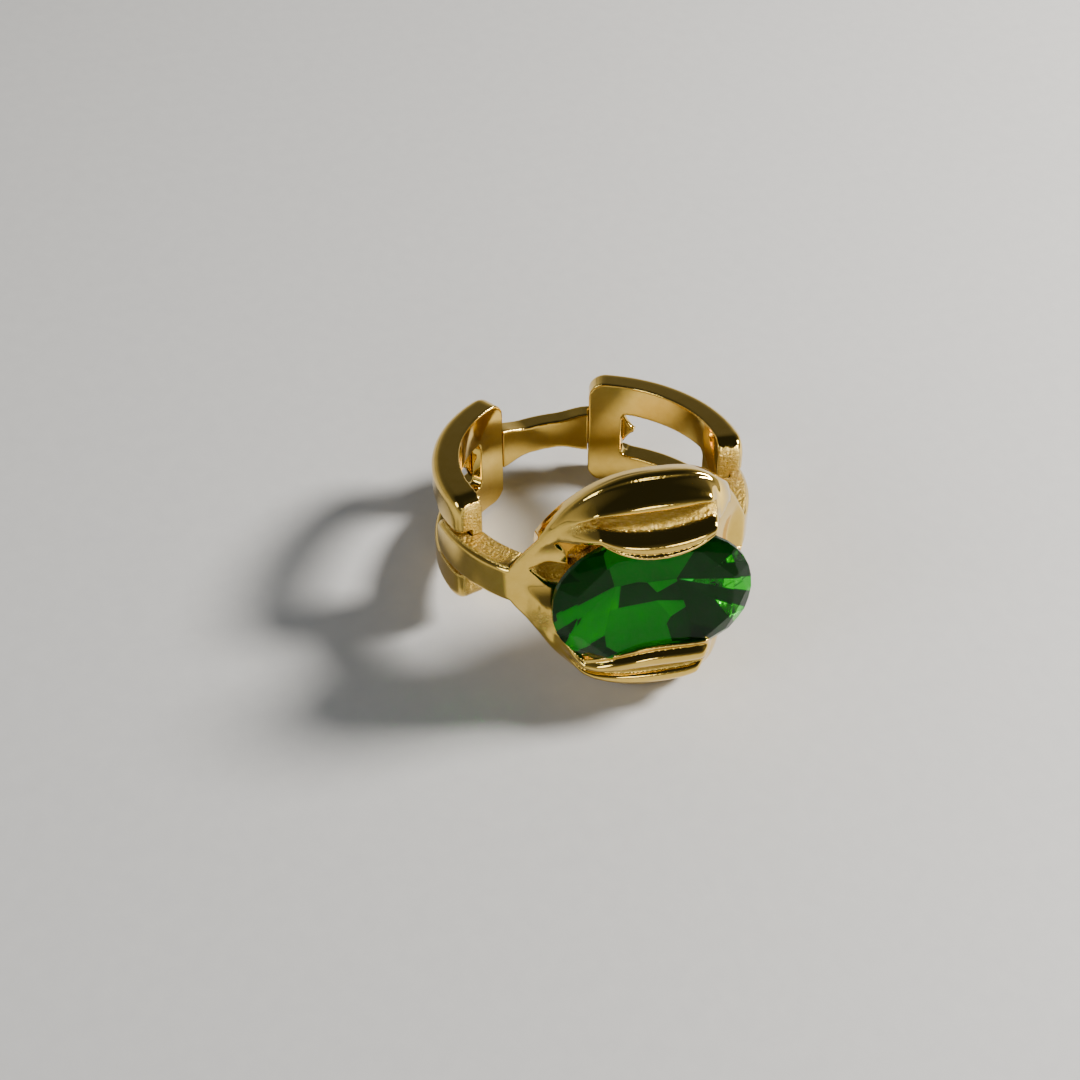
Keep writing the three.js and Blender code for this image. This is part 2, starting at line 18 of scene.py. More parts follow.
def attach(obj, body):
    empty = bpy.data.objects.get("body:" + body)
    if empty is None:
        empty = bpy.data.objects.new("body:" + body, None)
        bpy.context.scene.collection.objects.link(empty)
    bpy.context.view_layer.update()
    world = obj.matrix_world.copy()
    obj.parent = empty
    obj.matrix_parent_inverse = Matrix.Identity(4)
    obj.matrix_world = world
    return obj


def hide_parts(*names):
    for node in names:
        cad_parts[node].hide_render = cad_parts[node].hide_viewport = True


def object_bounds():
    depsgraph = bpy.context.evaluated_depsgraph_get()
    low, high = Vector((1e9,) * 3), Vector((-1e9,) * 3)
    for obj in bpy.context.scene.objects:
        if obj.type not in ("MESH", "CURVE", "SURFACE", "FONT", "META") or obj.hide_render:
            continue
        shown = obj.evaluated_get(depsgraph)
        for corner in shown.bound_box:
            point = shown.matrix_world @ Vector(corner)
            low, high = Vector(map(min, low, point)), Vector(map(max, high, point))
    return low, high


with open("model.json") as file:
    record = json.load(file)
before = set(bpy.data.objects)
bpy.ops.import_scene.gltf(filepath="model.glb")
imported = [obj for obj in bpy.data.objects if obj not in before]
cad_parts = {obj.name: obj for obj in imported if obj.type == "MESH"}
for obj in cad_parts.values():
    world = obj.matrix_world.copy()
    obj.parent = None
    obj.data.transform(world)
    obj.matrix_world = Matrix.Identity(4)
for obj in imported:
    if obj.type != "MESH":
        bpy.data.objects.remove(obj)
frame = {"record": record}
cad_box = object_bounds()

MM = 0.001
VOXEL = 0.065
LINK_PASSES = 7
PASSES = 6
RELIEF_PASSES = 12
MERGE_DISTANCE = 1e-5
PLANE_TOLERANCE = 1e-6

# ---- Sizes of the ring, millimetres and radians ----

FINGER_RADIUS = 8.65
LINK_WIDTH = 8.1
LINK_THICKNESS = 1.85
LINK_FRONT = math.radians(75)
LINK_BACK = math.radians(158)
LINK_CORNER = 1.15
RAIL_WIDTH = 2.3
RAIL_ROUND = 0.6
WINDOW_ROUND = 0.4
WINDOW_CORNER = 0.6
FRONT_END_ARC = math.radians(19)
BACK_END_ARC = math.radians(15.5)
END_BAR_THICKNESS = 0.85
SLOT_OVERRUN = math.radians(2)

BAR_THICKNESS = 2.0
BAR_BEVEL = 0.26
SHOULDER_SLOT_PLAY = 0.4
BACK_SLOT_PLAY = 0.25
BACK_WAIST_WIDTH = 2.2
BACK_WAIST_SHARE = 0.35
BACK_THICKNESS = 1.5
BACK_TAB_REACH = math.radians(4.5)
BACK_TAB_LENGTH = 1.3 * BACK_TAB_REACH
BACK_TAB_POINT = 0.12
BACK_TAB_HOLLOW = 1.6
TAB_LENGTH = math.radians(5)
TAB_SETBACK = math.radians(1.5)
TAB_POINT = 0.45
LAP_GAP = 0.04
LAP_STEP = 0.002

HEAD_TURN = math.radians(-9)
HEAD_SHIFT = 1.25
HEAD_RISE = 0.45
UPPER_HALF_WIDTH = 8.15
LOWER_HALF_WIDTH = 8.5
HEAD_WIDEST = 0.45
HEAD_LEFT_REACH = 8.6
HEAD_RIGHT_REACH = 6.9
UPPER_SETBACK = 0.2
LEFT_OUTLINE_POWER = 2.2
RIGHT_OUTLINE_POWER = 3.0
OUTLINE_FULLNESS = 0.75
LEFT_JOINT = -6.2
RIGHT_JOINT = 5.8
SIDE_TAPER = 1.3

ROOT_BEARING = math.radians(51)
LEFT_ROOT_THICKNESS = 1.6
RIGHT_ROOT_THICKNESS = 1.9
ROOT_FLARE_POWER = 0.85
ROOT_RISE_RUN = (-0.15, 0.5)
ROOT_TUCK = 0.3
ROOT_TUCK_RUN = (1.0, 1.5)
ROOT_OVERLAP = math.radians(7)
SCOOP_DEPTH = 0.8
SCOOP_RUN = (0, 0.4)

# The shallow dish round the stone's left end, and the rough teardrop hollow in it.
BAR_FACE_RADIUS = 10.3
DISH_START = -7.65
DISH_RISE = 8.07
DISH_SLOPE = 0.2
DISH_MIDDLE = 0.3
DISH_UPPER_CURVE = 0.07
DISH_LOWER_CURVE = 0.17
DISH_BLEND = 0.12
ROOT_DISH_BLEND = 0.1
DIMPLE_RUN = (-7.4, -5.8)
DIMPLE_START = -7.35
DIMPLE_Z = 0.95
DIMPLE_LEAN = 0.22
DIMPLE_HALF_WIDTH = 0.95
DIMPLE_TIP = 0.02
DIMPLE_DEPTH = 0.65
DIMPLE_SIDE = (0.45, 1.0)

RIM_RISE = FINGER_RADIUS + 1.45
RIM_CREST = 1.05
RIM_DROP_START = 4.2
LIP_THICKNESS = 0.4
UPPER_LIP_REACH = 3.8
LOWER_LIP_REACH = 3.0
LIP_CENTRE = 0.15
LEFT_LIP_CURVE = 0.08
UPPER_LIP_CURVE = 0.1
LOWER_LIP_CURVE = 0.02
LIP_CURVE_END = 3.5
LOWER_LIP_FLARE = 1.6
LIP_FLARE_END = 4.6
LEFT_LIP_DROP = 0.6
RIGHT_LIP_LIFT = 0.3
LIP_FALL_POWER = 3
BLADE_POWER = 6
BLADE_END = (3.45, 4.3)
ARM_CLEARANCE = 0.55
ARM_WIDTH = 1.15
ARM_END = -4.8

STONE_LENGTH = 12.7
STONE_WIDTH = 9.8
STONE_FULLNESS = 2.2
STONE_CLEARANCE = 0.05
GIRDLE_RISE = FINGER_RADIUS + 2.75
GIRDLE_THICKNESS = 0.3
CROWN_HEIGHT = 0.75
TABLE_SHARE = 0.78
STAR_START = 0.25
PAVILION_DEPTH = 2.3
KEEL_LENGTH = 4.0
BREAK_DEPTH = 0.55
BREAK_EDGE = 0.62

COLLAR_INSET = 1.5
COLLAR_WALL = 0.9
COLLAR_DROP = 1.25
COLLAR_SLOPE = 0.5
COLLAR_CAST = 0.6

OUTER_RADIUS = FINGER_RADIUS + LINK_THICKNESS
BAR_RADIUS = FINGER_RADIUS + BAR_THICKNESS
SLOT_HALF = LINK_WIDTH / 2 - RAIL_WIDTH
LAP_RADIUS = FINGER_RADIUS + END_BAR_THICKNESS + LAP_GAP
GIRDLE_TOP = GIRDLE_RISE + GIRDLE_THICKNESS / 2
GIRDLE_BOTTOM = GIRDLE_RISE - GIRDLE_THICKNESS / 2
TABLE_RISE = GIRDLE_TOP + CROWN_HEIGHT
KEEL_RISE = GIRDLE_BOTTOM - PAVILION_DEPTH

# Where the record's rest faces lie on the links: bearing and radius in the band frame.
REST_BEARING = math.radians(116.5)
REST_RADIUS = 9.35


# ---- Frames ----

def band_point(bearing, radius, z):
    bearing, radius, z = np.broadcast_arrays(bearing, radius, z)
    return np.stack([radius * np.sin(bearing), -radius * np.cos(bearing), z], -1)


def head_point(x, rise, z):
    x, rise, z = np.broadcast_arrays(x, rise, z)
    along = x + HEAD_SHIFT
    turn_cos, turn_sin = math.cos(HEAD_TURN), math.sin(HEAD_TURN)
    return np.stack(
        [along * turn_cos + rise * turn_sin, along * turn_sin - rise * turn_cos, z + HEAD_RISE], -1
    )


def in_head(points):
    """Band-frame points as head-frame x, rise and z."""
    turn_cos, turn_sin = math.cos(HEAD_TURN), math.sin(HEAD_TURN)
    x = points[:, 0] * turn_cos + points[:, 1] * turn_sin - HEAD_SHIFT
    rise = points[:, 0] * turn_sin - points[:, 1] * turn_cos
    return x, rise, points[:, 2] - HEAD_RISE


def part_matrix():
    """The matrix from the band frame, in millimetres, to the part's frame, in metres."""
    faces = [m for m in frame["record"]["mounts"] if m["kind"] == "flat_face"]
    normal = Vector(faces[0]["axis"])
    tip = Matrix.Rotation(math.atan2(normal.y, -normal.z), 4, "X")
    middle = sum((Vector(m["pos_m"]) for m in faces), Vector()) / len(faces)
    local = Vector((0, -REST_RADIUS * math.cos(REST_BEARING), -LINK_WIDTH / 2)) * MM
    return Matrix.Translation(middle - tip @ local) @ tip @ Matrix.Scale(MM, 4)


PART = part_matrix()


# ---- Small tools ----

def smooth(low, high, value):
    share = np.clip((value - low) / (high - low), 0, 1)
    return share * share * (3 - 2 * share)


def soft_min(a, b, width):
    """The lower of two heights, rounded where they cross."""
    mix = np.clip(0.5 + 0.5 * (b - a) / width, 0, 1)
    return b + (a - b) * mix - width * mix * (1 - mix)


def circle_rise(radius, x):
    return np.sqrt(np.maximum(radius**2 - (x + HEAD_SHIFT) ** 2, 0))


def object_from(name, body):
    """A new object in the scene with a bmesh's shape. The bmesh is used up."""
    mesh = bpy.data.meshes.new(name)
    body.to_mesh(mesh)
    body.free()
    piece = bpy.data.objects.new(name, mesh)
    bpy.context.scene.collection.objects.link(piece)
    return piece


def skin(name, rings, looped=False):
    """A closed body over rings of points, shape (rings, points, 3); open ends are capped."""
    rings = np.asarray(rings)
    count = rings.shape[1]
    faces = []
    for ring in range(len(rings) if looped else len(rings) - 1):
        here, there = ring * count, (ring + 1) % len(rings) * count
        for step in range(count):
            after = (step + 1) % count
            faces.append((here + step, there + step, there + after, here + after))
    if not looped:
        last = (len(rings) - 1) * count
        faces.append(tuple(range(count)))
        faces.append(tuple(range(last + count - 1, last - 1, -1)))
    mesh = bpy.data.meshes.new(name)
    mesh.from_pydata([tuple(point) for point in rings.reshape(-1, 3)], [], faces)
    body = bmesh.new()
    body.from_mesh(mesh)
    bpy.data.meshes.remove(mesh)
    bmesh.ops.remove_doubles(body, verts=body.verts, dist=MERGE_DISTANCE)
    bmesh.ops.recalc_face_normals(body, faces=body.faces)
    return object_from(name, body)


def applied(piece):
    """Applies a piece's modifiers."""
    graph = bpy.context.evaluated_depsgraph_get()
    graph.update()
    mesh = bpy.data.meshes.new_from_object(piece.evaluated_get(graph))
    piece.modifiers.clear()
    piece.data = mesh
    return piece


def joined(name, parts):
    """Several bodies as one object, still overlapping."""
    whole = bmesh.new()
    for part in parts:
        whole.from_mesh(part.data)
        bpy.data.objects.remove(part)
    return object_from(name, whole)


def cut(piece, cutter):
    """Takes the cutter's volume out of a piece."""
    boolean = piece.modifiers.new("cut", "BOOLEAN")
    boolean.object = cutter
    boolean.operation = "DIFFERENCE"
    boolean.solver = "EXACT"
    applied(piece)
    bpy.data.objects.remove(cutter)


def soften(piece, passes):
    """Fuses a body's overlapping volumes and rounds its edges, as casting and polishing do."""
    voxels = piece.modifiers.new("voxels", "REMESH")
    voxels.mode = "VOXEL"
    voxels.voxel_size = VOXEL
    polish = piece.modifiers.new("polish", "SMOOTH")
    polish.factor = 0.5
    polish.iterations = passes
    return applied(piece)


def drop_crumbs(body):
    """Leaves a mesh only its largest connected piece."""
    unseen, largest = set(body.faces), set()
    while unseen:
        front = [unseen.pop()]
        island = set(front)
        while front:
            near = {face for edge in front.pop().edges for face in edge.link_faces} & unseen
            unseen -= near
            island |= near
            front.extend(near)
        largest = max(largest, island, key=len)
    crumbs = [face for face in body.faces if face not in largest]
    bmesh.ops.delete(body, geom=crumbs, context="FACES")


def half_of(name, source, point, normal):
    """The part of a body on a plane's far side from its normal, closed where it was cut."""
    body = bmesh.new()
    body.from_mesh(source.data)
    geometry = body.verts[:] + body.edges[:] + body.faces[:]
    bmesh.ops.bisect_plane(
        body, geom=geometry, plane_co=point, plane_no=normal, clear_outer=True, dist=PLANE_TOLERANCE
    )
    rim = [edge for edge in body.edges if edge.is_boundary]
    caps = bmesh.ops.holes_fill(body, edges=rim, sides=0)["faces"]
    for cap in caps:
        for edge in cap.edges:
            edge.smooth = False
    drop_crumbs(body)
    return object_from(name, body)


def vectors_of(piece, attribute):
    """The places ("co") or normals ("normal") of a piece's points."""
    flat = np.zeros(len(piece.data.vertices) * 3, np.float32)
    piece.data.vertices.foreach_get(attribute, flat)
    return flat.reshape(-1, 3).astype(float)


def paint(mesh, name, domain, values):
    """Stores one number for each of a mesh's points or faces, for its material to read."""
    layer = mesh.attributes.new(name, "FLOAT", domain)
    layer.data.foreach_set("value", np.asarray(values, np.float32))


def relief_of(piece):
    """How far each point lies in a hollow (above 0) or on an edge (below 0), in millimetres."""
    start = vectors_of(piece, "co")
    ends = np.zeros(len(piece.data.edges) * 2, np.int64)
    piece.data.edges.foreach_get("vertices", ends)
    ends = ends.reshape(-1, 2)
    degree = np.bincount(ends.ravel(), minlength=len(start))[:, None]
    place = start.copy()
    for _ in range(RELIEF_PASSES):
        total = np.zeros_like(place)
        for axis in range(3):
            total[:, axis] += np.bincount(ends[:, 0], place[ends[:, 1], axis], len(start))
            total[:, axis] += np.bincount(ends[:, 1], place[ends[:, 0], axis], len(start))
        place = total / degree
    return ((place - start) * vectors_of(piece, "normal")).sum(1)


def paint_metal(piece, cast):
    """Stores where a piece is as cast, from 0 to 1, and its relief."""
    paint(piece.data, "cast", "POINT", cast)
    paint(piece.data, "relief", "POINT", relief_of(piece))


def finish_piece(piece, node, material, smooth_faces=True):
    """Puts a piece in the part's frame, in place of its CAD node."""
    piece.name = node + "_fine"
    piece.data.name = piece.name
    piece.data.transform(PART)
    piece.data.polygons.foreach_set("use_smooth", [smooth_faces] * len(piece.data.polygons))
    piece.data.materials.clear()
    piece.data.materials.append(material)
    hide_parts(node)
    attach(piece, "root")


def finish_metal(piece, node):
    finish_piece(piece, node, GOLD)


# ---- Materials ----

class Nodes:
    """Makes and links a material's nodes in few words."""

    def __init__(self, name):
        self.material = bpy.data.materials.new(name)
        self.material.use_nodes = True
        self.tree = self.material.node_tree
        self.shader = self.tree.nodes["Principled BSDF"]
        self.place = self.add("ShaderNodeTexCoord").outputs["Object"]

    def add(self, kind, settings=None, **inputs):
        node = self.tree.nodes.new(kind)
        for key, value in (settings or {}).items():
            setattr(node, key, value)
        for key, value in inputs.items():
            self.feed(node, key.replace("_", " "), value)
        return node

    def feed(self, node, socket, value):
        target = node.inputs[int(socket)] if socket.isdigit() else node.inputs[socket]
        if isinstance(value, bpy.types.NodeSocket):
            self.tree.links.new(value, target)
        else:
            target.default_value = value

    def math(self, operation, a, b):
        node = self.add("ShaderNodeMath", {"operation": operation})
        self.feed(node, "0", a)
        self.feed(node, "1", b)
        return node.outputs[0]

    def mix(self, factor, a, b):
        node = self.add("ShaderNodeMix", {"data_type": "RGBA"})
        for at, value in ((0, factor), (6, a), (7, b)):
            self.feed(node, str(at), value)
        return node.outputs[2]

    def mix_number(self, factor, a, b):
        node = self.add("ShaderNodeMix", {"data_type": "FLOAT"})
        for at, value in ((0, factor), (2, a), (3, b)):
            self.feed(node, str(at), value)
        return node.outputs[0]

    def span(self, value, low, high, to_low=0.0, to_high=1.0):
        node = self.add("ShaderNodeMapRange")
        for at, number in enumerate((value, low, high, to_low, to_high)):
            self.feed(node, str(at), number)
        return node.outputs[0]

    def noise(self, place, per_mm, detail, roughness=0.5):
        node = self.add("ShaderNodeTexNoise", Vector=place, Scale=per_mm / MM, Detail=detail)
        node.inputs["Roughness"].default_value = roughness
        return node.outputs["Fac"]

    def stretched(self, scale):
        return self.add("ShaderNodeMapping", Vector=self.place, Scale=scale).outputs[0]

    def attribute(self, name):
        return self.add("ShaderNodeAttribute", {"attribute_name": name}).outputs["Fac"]

    def bump(self, height, strength, distance):
        return self.add("ShaderNodeBump", Height=height, Strength=strength, Distance=distance * MM)


POLISHED_GOLD = (0.81, 0.56, 0.125, 1)
DEEP_GOLD = (0.56, 0.34, 0.03, 1)
CAST_GOLD = (0.56, 0.40, 0.09, 1)
PALE_GOLD = (0.92, 0.70, 0.28, 1)
RIPPLES_PER_MM = 0.45
SMUDGES_PER_MM = 1.1
GRAINS_PER_MM = 7.0
PITS_PER_MM = 5.5
BRUSHED_PER_MM = 2.4
BRUSHED_STRETCH = (1.0, 1.0, 9.0)
SMUDGE_TINT = 0.35
# Hollows are darkened with painted shade, and made duller.
HOLLOW_RELIEF = (0.02, 0.16)
HOLLOW_PAINTED_SHADE = 0.75
HOLLOW_DULLNESS = 0.12
# Sharp outer edges are painted lighter.
EDGE_RELIEF = (-0.03, -0.12)
EDGE_LIGHTENING = 0.6
CAST_WEAR = 0.5
POLISHED_ROUGHNESS = (0.05, 0.13)
CAST_ROUGHNESS = (0.28, 0.5)
RIPPLE_STRENGTH = 0.12
RIPPLE_DEPTH = 0.05
CAST_DEPTH = 0.12
GRAIN_SHARE, PIT_SHARE, BRUSHED_SHARE = 0.6, 0.7, 0.8


def gold_material():
    """Mirror-polished plating, with as-cast metal where the cast attribute is 1, painted shade in
    its hollows and sharp outer edges painted lighter.
    """
    nodes = Nodes("gold_plate")
    cast, relief = nodes.attribute("cast"), nodes.attribute("relief")
    smudge = nodes.noise(nodes.place, SMUDGES_PER_MM, 5.0, 0.65)
    grain = nodes.noise(nodes.place, GRAINS_PER_MM, 5.0, 0.7)
    brushed = nodes.noise(nodes.stretched(BRUSHED_STRETCH), BRUSHED_PER_MM, 4.0, 0.6)
    hollow = nodes.span(relief, *HOLLOW_RELIEF)

    polished = nodes.mix(
        nodes.span(smudge, 0.35, 0.75, 0.0, SMUDGE_TINT), POLISHED_GOLD, DEEP_GOLD
    )
    # Painted shade in hollows.
    polished = nodes.mix(nodes.math("MULTIPLY", hollow, HOLLOW_PAINTED_SHADE), polished, DEEP_GOLD)
    edge = nodes.span(relief, *EDGE_RELIEF)
    # Sharp outer edges painted lighter.
    polished = nodes.mix(nodes.math("MULTIPLY", edge, EDGE_LIGHTENING), polished, PALE_GOLD)
    rough = nodes.mix(nodes.span(grain, 0.3, 0.7), DEEP_GOLD, CAST_GOLD)
    rough = nodes.mix(nodes.span(brushed, 0.45, 0.7, 0.0, CAST_WEAR), rough, PALE_GOLD)
    nodes.feed(nodes.shader, "Base Color", nodes.mix(cast, polished, rough))

    gloss = nodes.span(smudge, 0.3, 0.8, *POLISHED_ROUGHNESS)
    gloss = nodes.math("ADD", gloss, nodes.math("MULTIPLY", hollow, HOLLOW_DULLNESS))
    dull = nodes.span(grain, 0.3, 0.7, *CAST_ROUGHNESS)
    nodes.feed(nodes.shader, "Roughness", nodes.mix_number(cast, gloss, dull))
    nodes.feed(nodes.shader, "Metallic", 1.0)
    nodes.feed(nodes.shader, "Normal", gold_surface(nodes, cast, grain, brushed))
    return nodes.material


def gold_surface(nodes, cast, grain, brushed):
    """The slow ripple of polished plating, with grain, pits and streaks where it is as cast."""
    ripple = nodes.noise(nodes.place, RIPPLES_PER_MM, 2.0)
    pits = nodes.add(
        "ShaderNodeTexVoronoi", {"feature": "SMOOTH_F1"}, Vector=nodes.place, Scale=PITS_PER_MM / MM
    ).outputs["Distance"]
    waves = nodes.bump(ripple, RIPPLE_STRENGTH, RIPPLE_DEPTH)
    grain = nodes.math("MULTIPLY", grain, GRAIN_SHARE)
    height = nodes.math("ADD", grain, nodes.math("MULTIPLY", pits, PIT_SHARE))
    height = nodes.math("ADD", height, nodes.math("MULTIPLY", brushed, BRUSHED_SHARE))
    texture = nodes.bump(nodes.math("MULTIPLY", height, cast), 1.0, CAST_DEPTH)
    nodes.feed(texture, "Normal", waves.outputs[0])
    return texture.outputs[0]


GLASS_TINTS = ((0.006, 0.84, 0.04, 1), (0.012, 0.90, 0.06, 1))
FOIL_GREENS = ((0.002, 0.34, 0.010, 1), (0.004, 0.42, 0.018, 1))
# The colour of the painted shade on the foil.
FOIL_SHADOW = (0.002, 0.02, 0.004, 1)
CLOUDS_PER_MM = 0.5
HAZE_PER_MM = 3.0
MOST_HAZE = 0.03
# Long straight-edged cells of painted shade on the foil.
CELLS_PER_MM = 0.5
CELL_STRETCH = (0.45, 1.0, 1.0)
DARK_CELLS_FROM = (0.60, 0.64)
CELL_SHADE = 0.9
FOIL_ROUGHNESS = 0.38
GLASS_SPECULAR = 0.08
GLASS_IOR = 1.25


def glass_material():
    """Green glass, with foil in bright and dark patches of painted shade, standing in for the
    stone's inner reflections, where the foil attribute is 1.
    """
    nodes = Nodes("green_glass")
    foil = nodes.attribute("foil")
    clear = nodes.math("SUBTRACT", 1.0, foil)
    cloud = nodes.span(nodes.noise(nodes.place, CLOUDS_PER_MM, 3.0), 0.3, 0.7)
    # The foil's colour, darkened by painted shade.
    shaded = nodes.mix(foil_shade(nodes), nodes.mix(cloud, *FOIL_GREENS), FOIL_SHADOW)
    tint = nodes.mix(cloud, *GLASS_TINTS)
    nodes.feed(nodes.shader, "Base Color", nodes.mix(foil, tint, shaded))
    haze = nodes.span(nodes.noise(nodes.place, HAZE_PER_MM, 4.0), 0.4, 0.8, 0.0, MOST_HAZE)
    matt = nodes.math("MULTIPLY", foil, FOIL_ROUGHNESS)
    nodes.feed(nodes.shader, "Roughness", nodes.math("ADD", haze, matt))
    nodes.feed(
        nodes.shader, "Specular IOR Level", nodes.math("MULTIPLY", clear, GLASS_SPECULAR)
    )
    nodes.feed(nodes.shader, "Transmission Weight", clear)
    nodes.feed(nodes.shader, "IOR", GLASS_IOR)
    return nodes.material


def foil_shade(nodes):
    """Painted shade on the foil, standing in for the stone's inner reflections: as its facet says,
    with some long straight-edged cells darker.
    """
    cells = nodes.add(
        "ShaderNodeTexVoronoi", Vector=nodes.stretched(CELL_STRETCH), Scale=CELLS_PER_MM / MM
    ).outputs["Color"]
    cell = nodes.add("ShaderNodeSeparateColor", Color=cells).outputs[0]
    dark = nodes.span(cell, *DARK_CELLS_FROM, 0.0, CELL_SHADE)
    return nodes.math("MAXIMUM", nodes.attribute("shade"), dark)


FLOOR_GREYS = ((0.54, 0.54, 0.54, 1), (0.60, 0.60, 0.59, 1))
FLOOR_ROUGHNESS = 0.6


def floor_material():
    nodes = Nodes("pale_surface")
    grain = nodes.noise(nodes.place, 0.8, 4.0)
    nodes.feed(nodes.shader, "Base Color", nodes.mix(grain, *FLOOR_GREYS))
    nodes.feed(nodes.shader, "Roughness", FLOOR_ROUGHNESS)
    nodes.feed(nodes.shader, "Normal", nodes.bump(grain, 0.1, 0.1).outputs[0])
    return nodes.material


GOLD = gold_material()
GLASS = glass_material()


# ---- Links ----

def rounded_loop(half_length, half_width, corner):
    """A round-cornered rectangle as (along, z) points, in matching order for any size."""
    arc_steps, long_steps, short_steps = 10, 44, 16
    corners = [
        (half_length - corner, half_width - corner, 0.0, long_steps),
        (corner - half_length, half_width - corner, math.pi / 2, short_steps),
        (corner - half_length, corner - half_width, math.pi, long_steps),
        (half_length - corner, corner - half_width, 1.5 * math.pi, short_steps),
    ]
    arcs = []
    for along, z, start, _ in corners:
        turns = np.linspace(start, start + math.pi / 2, arc_steps)
        arcs.append(np.stack([along + corner * np.cos(turns), z + corner * np.sin(turns)], -1))
    loop = []
    for at, arc in enumerate(arcs):
        loop.append(arc)
        following = arcs[(at + 1) % 4][0]
        shares = np.linspace(0, 1, corners[at][3])[1:-1, None]
        loop.append(arc[-1] + (following - arc[-1]) * shares)
    return np.concatenate(loop)


def rail_section():
    """A rail's D section as (share across, radius): flat to the finger, rounded outside."""
    quarter = np.linspace(0, math.pi / 2, 9)
    outer_share, window_share = RAIL_ROUND / RAIL_WIDTH, WINDOW_ROUND / RAIL_WIDTH
    section = [(share, FINGER_RADIUS) for share in np.linspace(1, 0, 12)]
    for turn in quarter:
        drop = RAIL_ROUND * (1 - math.sin(turn))
        section.append((outer_share * (1 - math.cos(turn)), OUTER_RADIUS - drop))
    for share in np.linspace(outer_share, 1 - window_share, 6)[1:-1]:
        section.append((share, OUTER_RADIUS))
    for turn in quarter[::-1]:
        drop = WINDOW_ROUND * (1 - math.sin(turn))
        section.append((1 - window_share * (1 - math.cos(turn)), OUTER_RADIUS - drop))
    return np.array(section)


def band_block(bearings, radii, half_width):
    corners = np.array([[-1, 0], [1, 0], [1, 1], [-1, 1]])
    rings = [
        band_point(bearing, np.array(radii)[corners[:, 1]], half_width * corners[:, 0])
        for bearing in np.linspace(*bearings, 24)
    ]
    return skin("cutter", rings)


def link_body(side, name):
    """Two rails and two end bars in one loop, with a slot for a lapped bar at each end."""
    middle = (LINK_FRONT + LINK_BACK) / 2
    half_arc = (LINK_BACK - LINK_FRONT) / 2
    reference = (FINGER_RADIUS + OUTER_RADIUS) / 2
    window_arc = half_arc - (FRONT_END_ARC + BACK_END_ARC) / 2
    outside = rounded_loop(half_arc * reference, LINK_WIDTH / 2, LINK_CORNER)
    inside = rounded_loop(window_arc * reference, SLOT_HALF, WINDOW_CORNER)
    inside[:, 0] += (FRONT_END_ARC - BACK_END_ARC) / 2 * reference
    share, radius = rail_section().T
    spots = outside[:, None] + (inside - outside)[:, None] * share[None, :, None]
    bearing = side * (middle + spots[..., 0] / reference)
    piece = skin(name, band_point(bearing, radius[None], spots[..., 1]), looped=True)
    slot_radii = (FINGER_RADIUS + END_BAR_THICKNESS, OUTER_RADIUS + 1)
    for low, high in (
        (LINK_FRONT - SLOT_OVERRUN, LINK_FRONT + FRONT_END_ARC + SLOT_OVERRUN),
        (LINK_BACK - BACK_END_ARC - SLOT_OVERRUN, LINK_BACK + SLOT_OVERRUN),
    ):
        cut(piece, band_block((side * low, side * high), slot_radii, SLOT_HALF))
    return piece


FACING = (0.7, 0.95)


def link_cast(piece, side):
    """1 on a link's front end faces and on the walls of its front slot, which stay as cast."""
    place, facing = vectors_of(piece, "co"), vectors_of(piece, "normal")
    bearing = np.arctan2(np.abs(place[:, 0]), -place[:, 1])
    tangent = band_point(bearing + math.pi / 2, 1.0, 0.0) * [side, 1, 1]
    forward = np.abs((facing * tangent).sum(1))
    front_face = smooth(*FACING, forward) * (bearing < LINK_FRONT + 0.03)
    near_slot = np.abs(place[:, 2]) < SLOT_HALF + 0.2
    above_bar = np.hypot(place[:, 0], place[:, 1]) > LAP_RADIUS - 0.1
    in_slot = near_slot & above_bar & (bearing < LINK_FRONT + FRONT_END_ARC)
    slot_wall = smooth(*FACING, np.abs(facing[:, 2])) * in_slot
    return np.maximum(front_face, slot_wall)


def build_link(side, node):
    piece = soften(link_body(side, node), LINK_PASSES)
    paint_metal(piece, link_cast(piece, side))
    finish_metal(piece, node)


# ---- Bars ----

def bar_section(half_width, inner_radius, top_radius):
    """A bevelled bar's outline as (z, radius) points."""
    middle_radius = (inner_radius + top_radius) / 2
    return [
        *((z, inner_radius) for z in np.linspace(-half_width, half_width, 7)),
        (half_width, middle_radius),
        (half_width, top_radius - BAR_BEVEL),
        *((z, top_radius) for z in np.linspace(half_width - BAR_BEVEL, BAR_BEVEL - half_width, 7)),
        (-half_width, top_radius - BAR_BEVEL),
        (-half_width, middle_radius),
    ]


def tab_share(from_tip):
    """The share of full width that a front tab keeps: rounded towards its tip."""
    share = np.minimum(1, from_tip / TAB_LENGTH)
    return TAB_POINT + (1 - TAB_POINT) * np.sqrt(1 - (1 - share) ** 2)


def back_tab_share(from_tip):
    """The share of full width that a back tab keeps: pointed at its tip, with hollow sides."""
    share = min(1, from_tip / BACK_TAB_LENGTH)
    return BACK_TAB_POINT + (1 - BACK_TAB_POINT) * share**BACK_TAB_HOLLOW


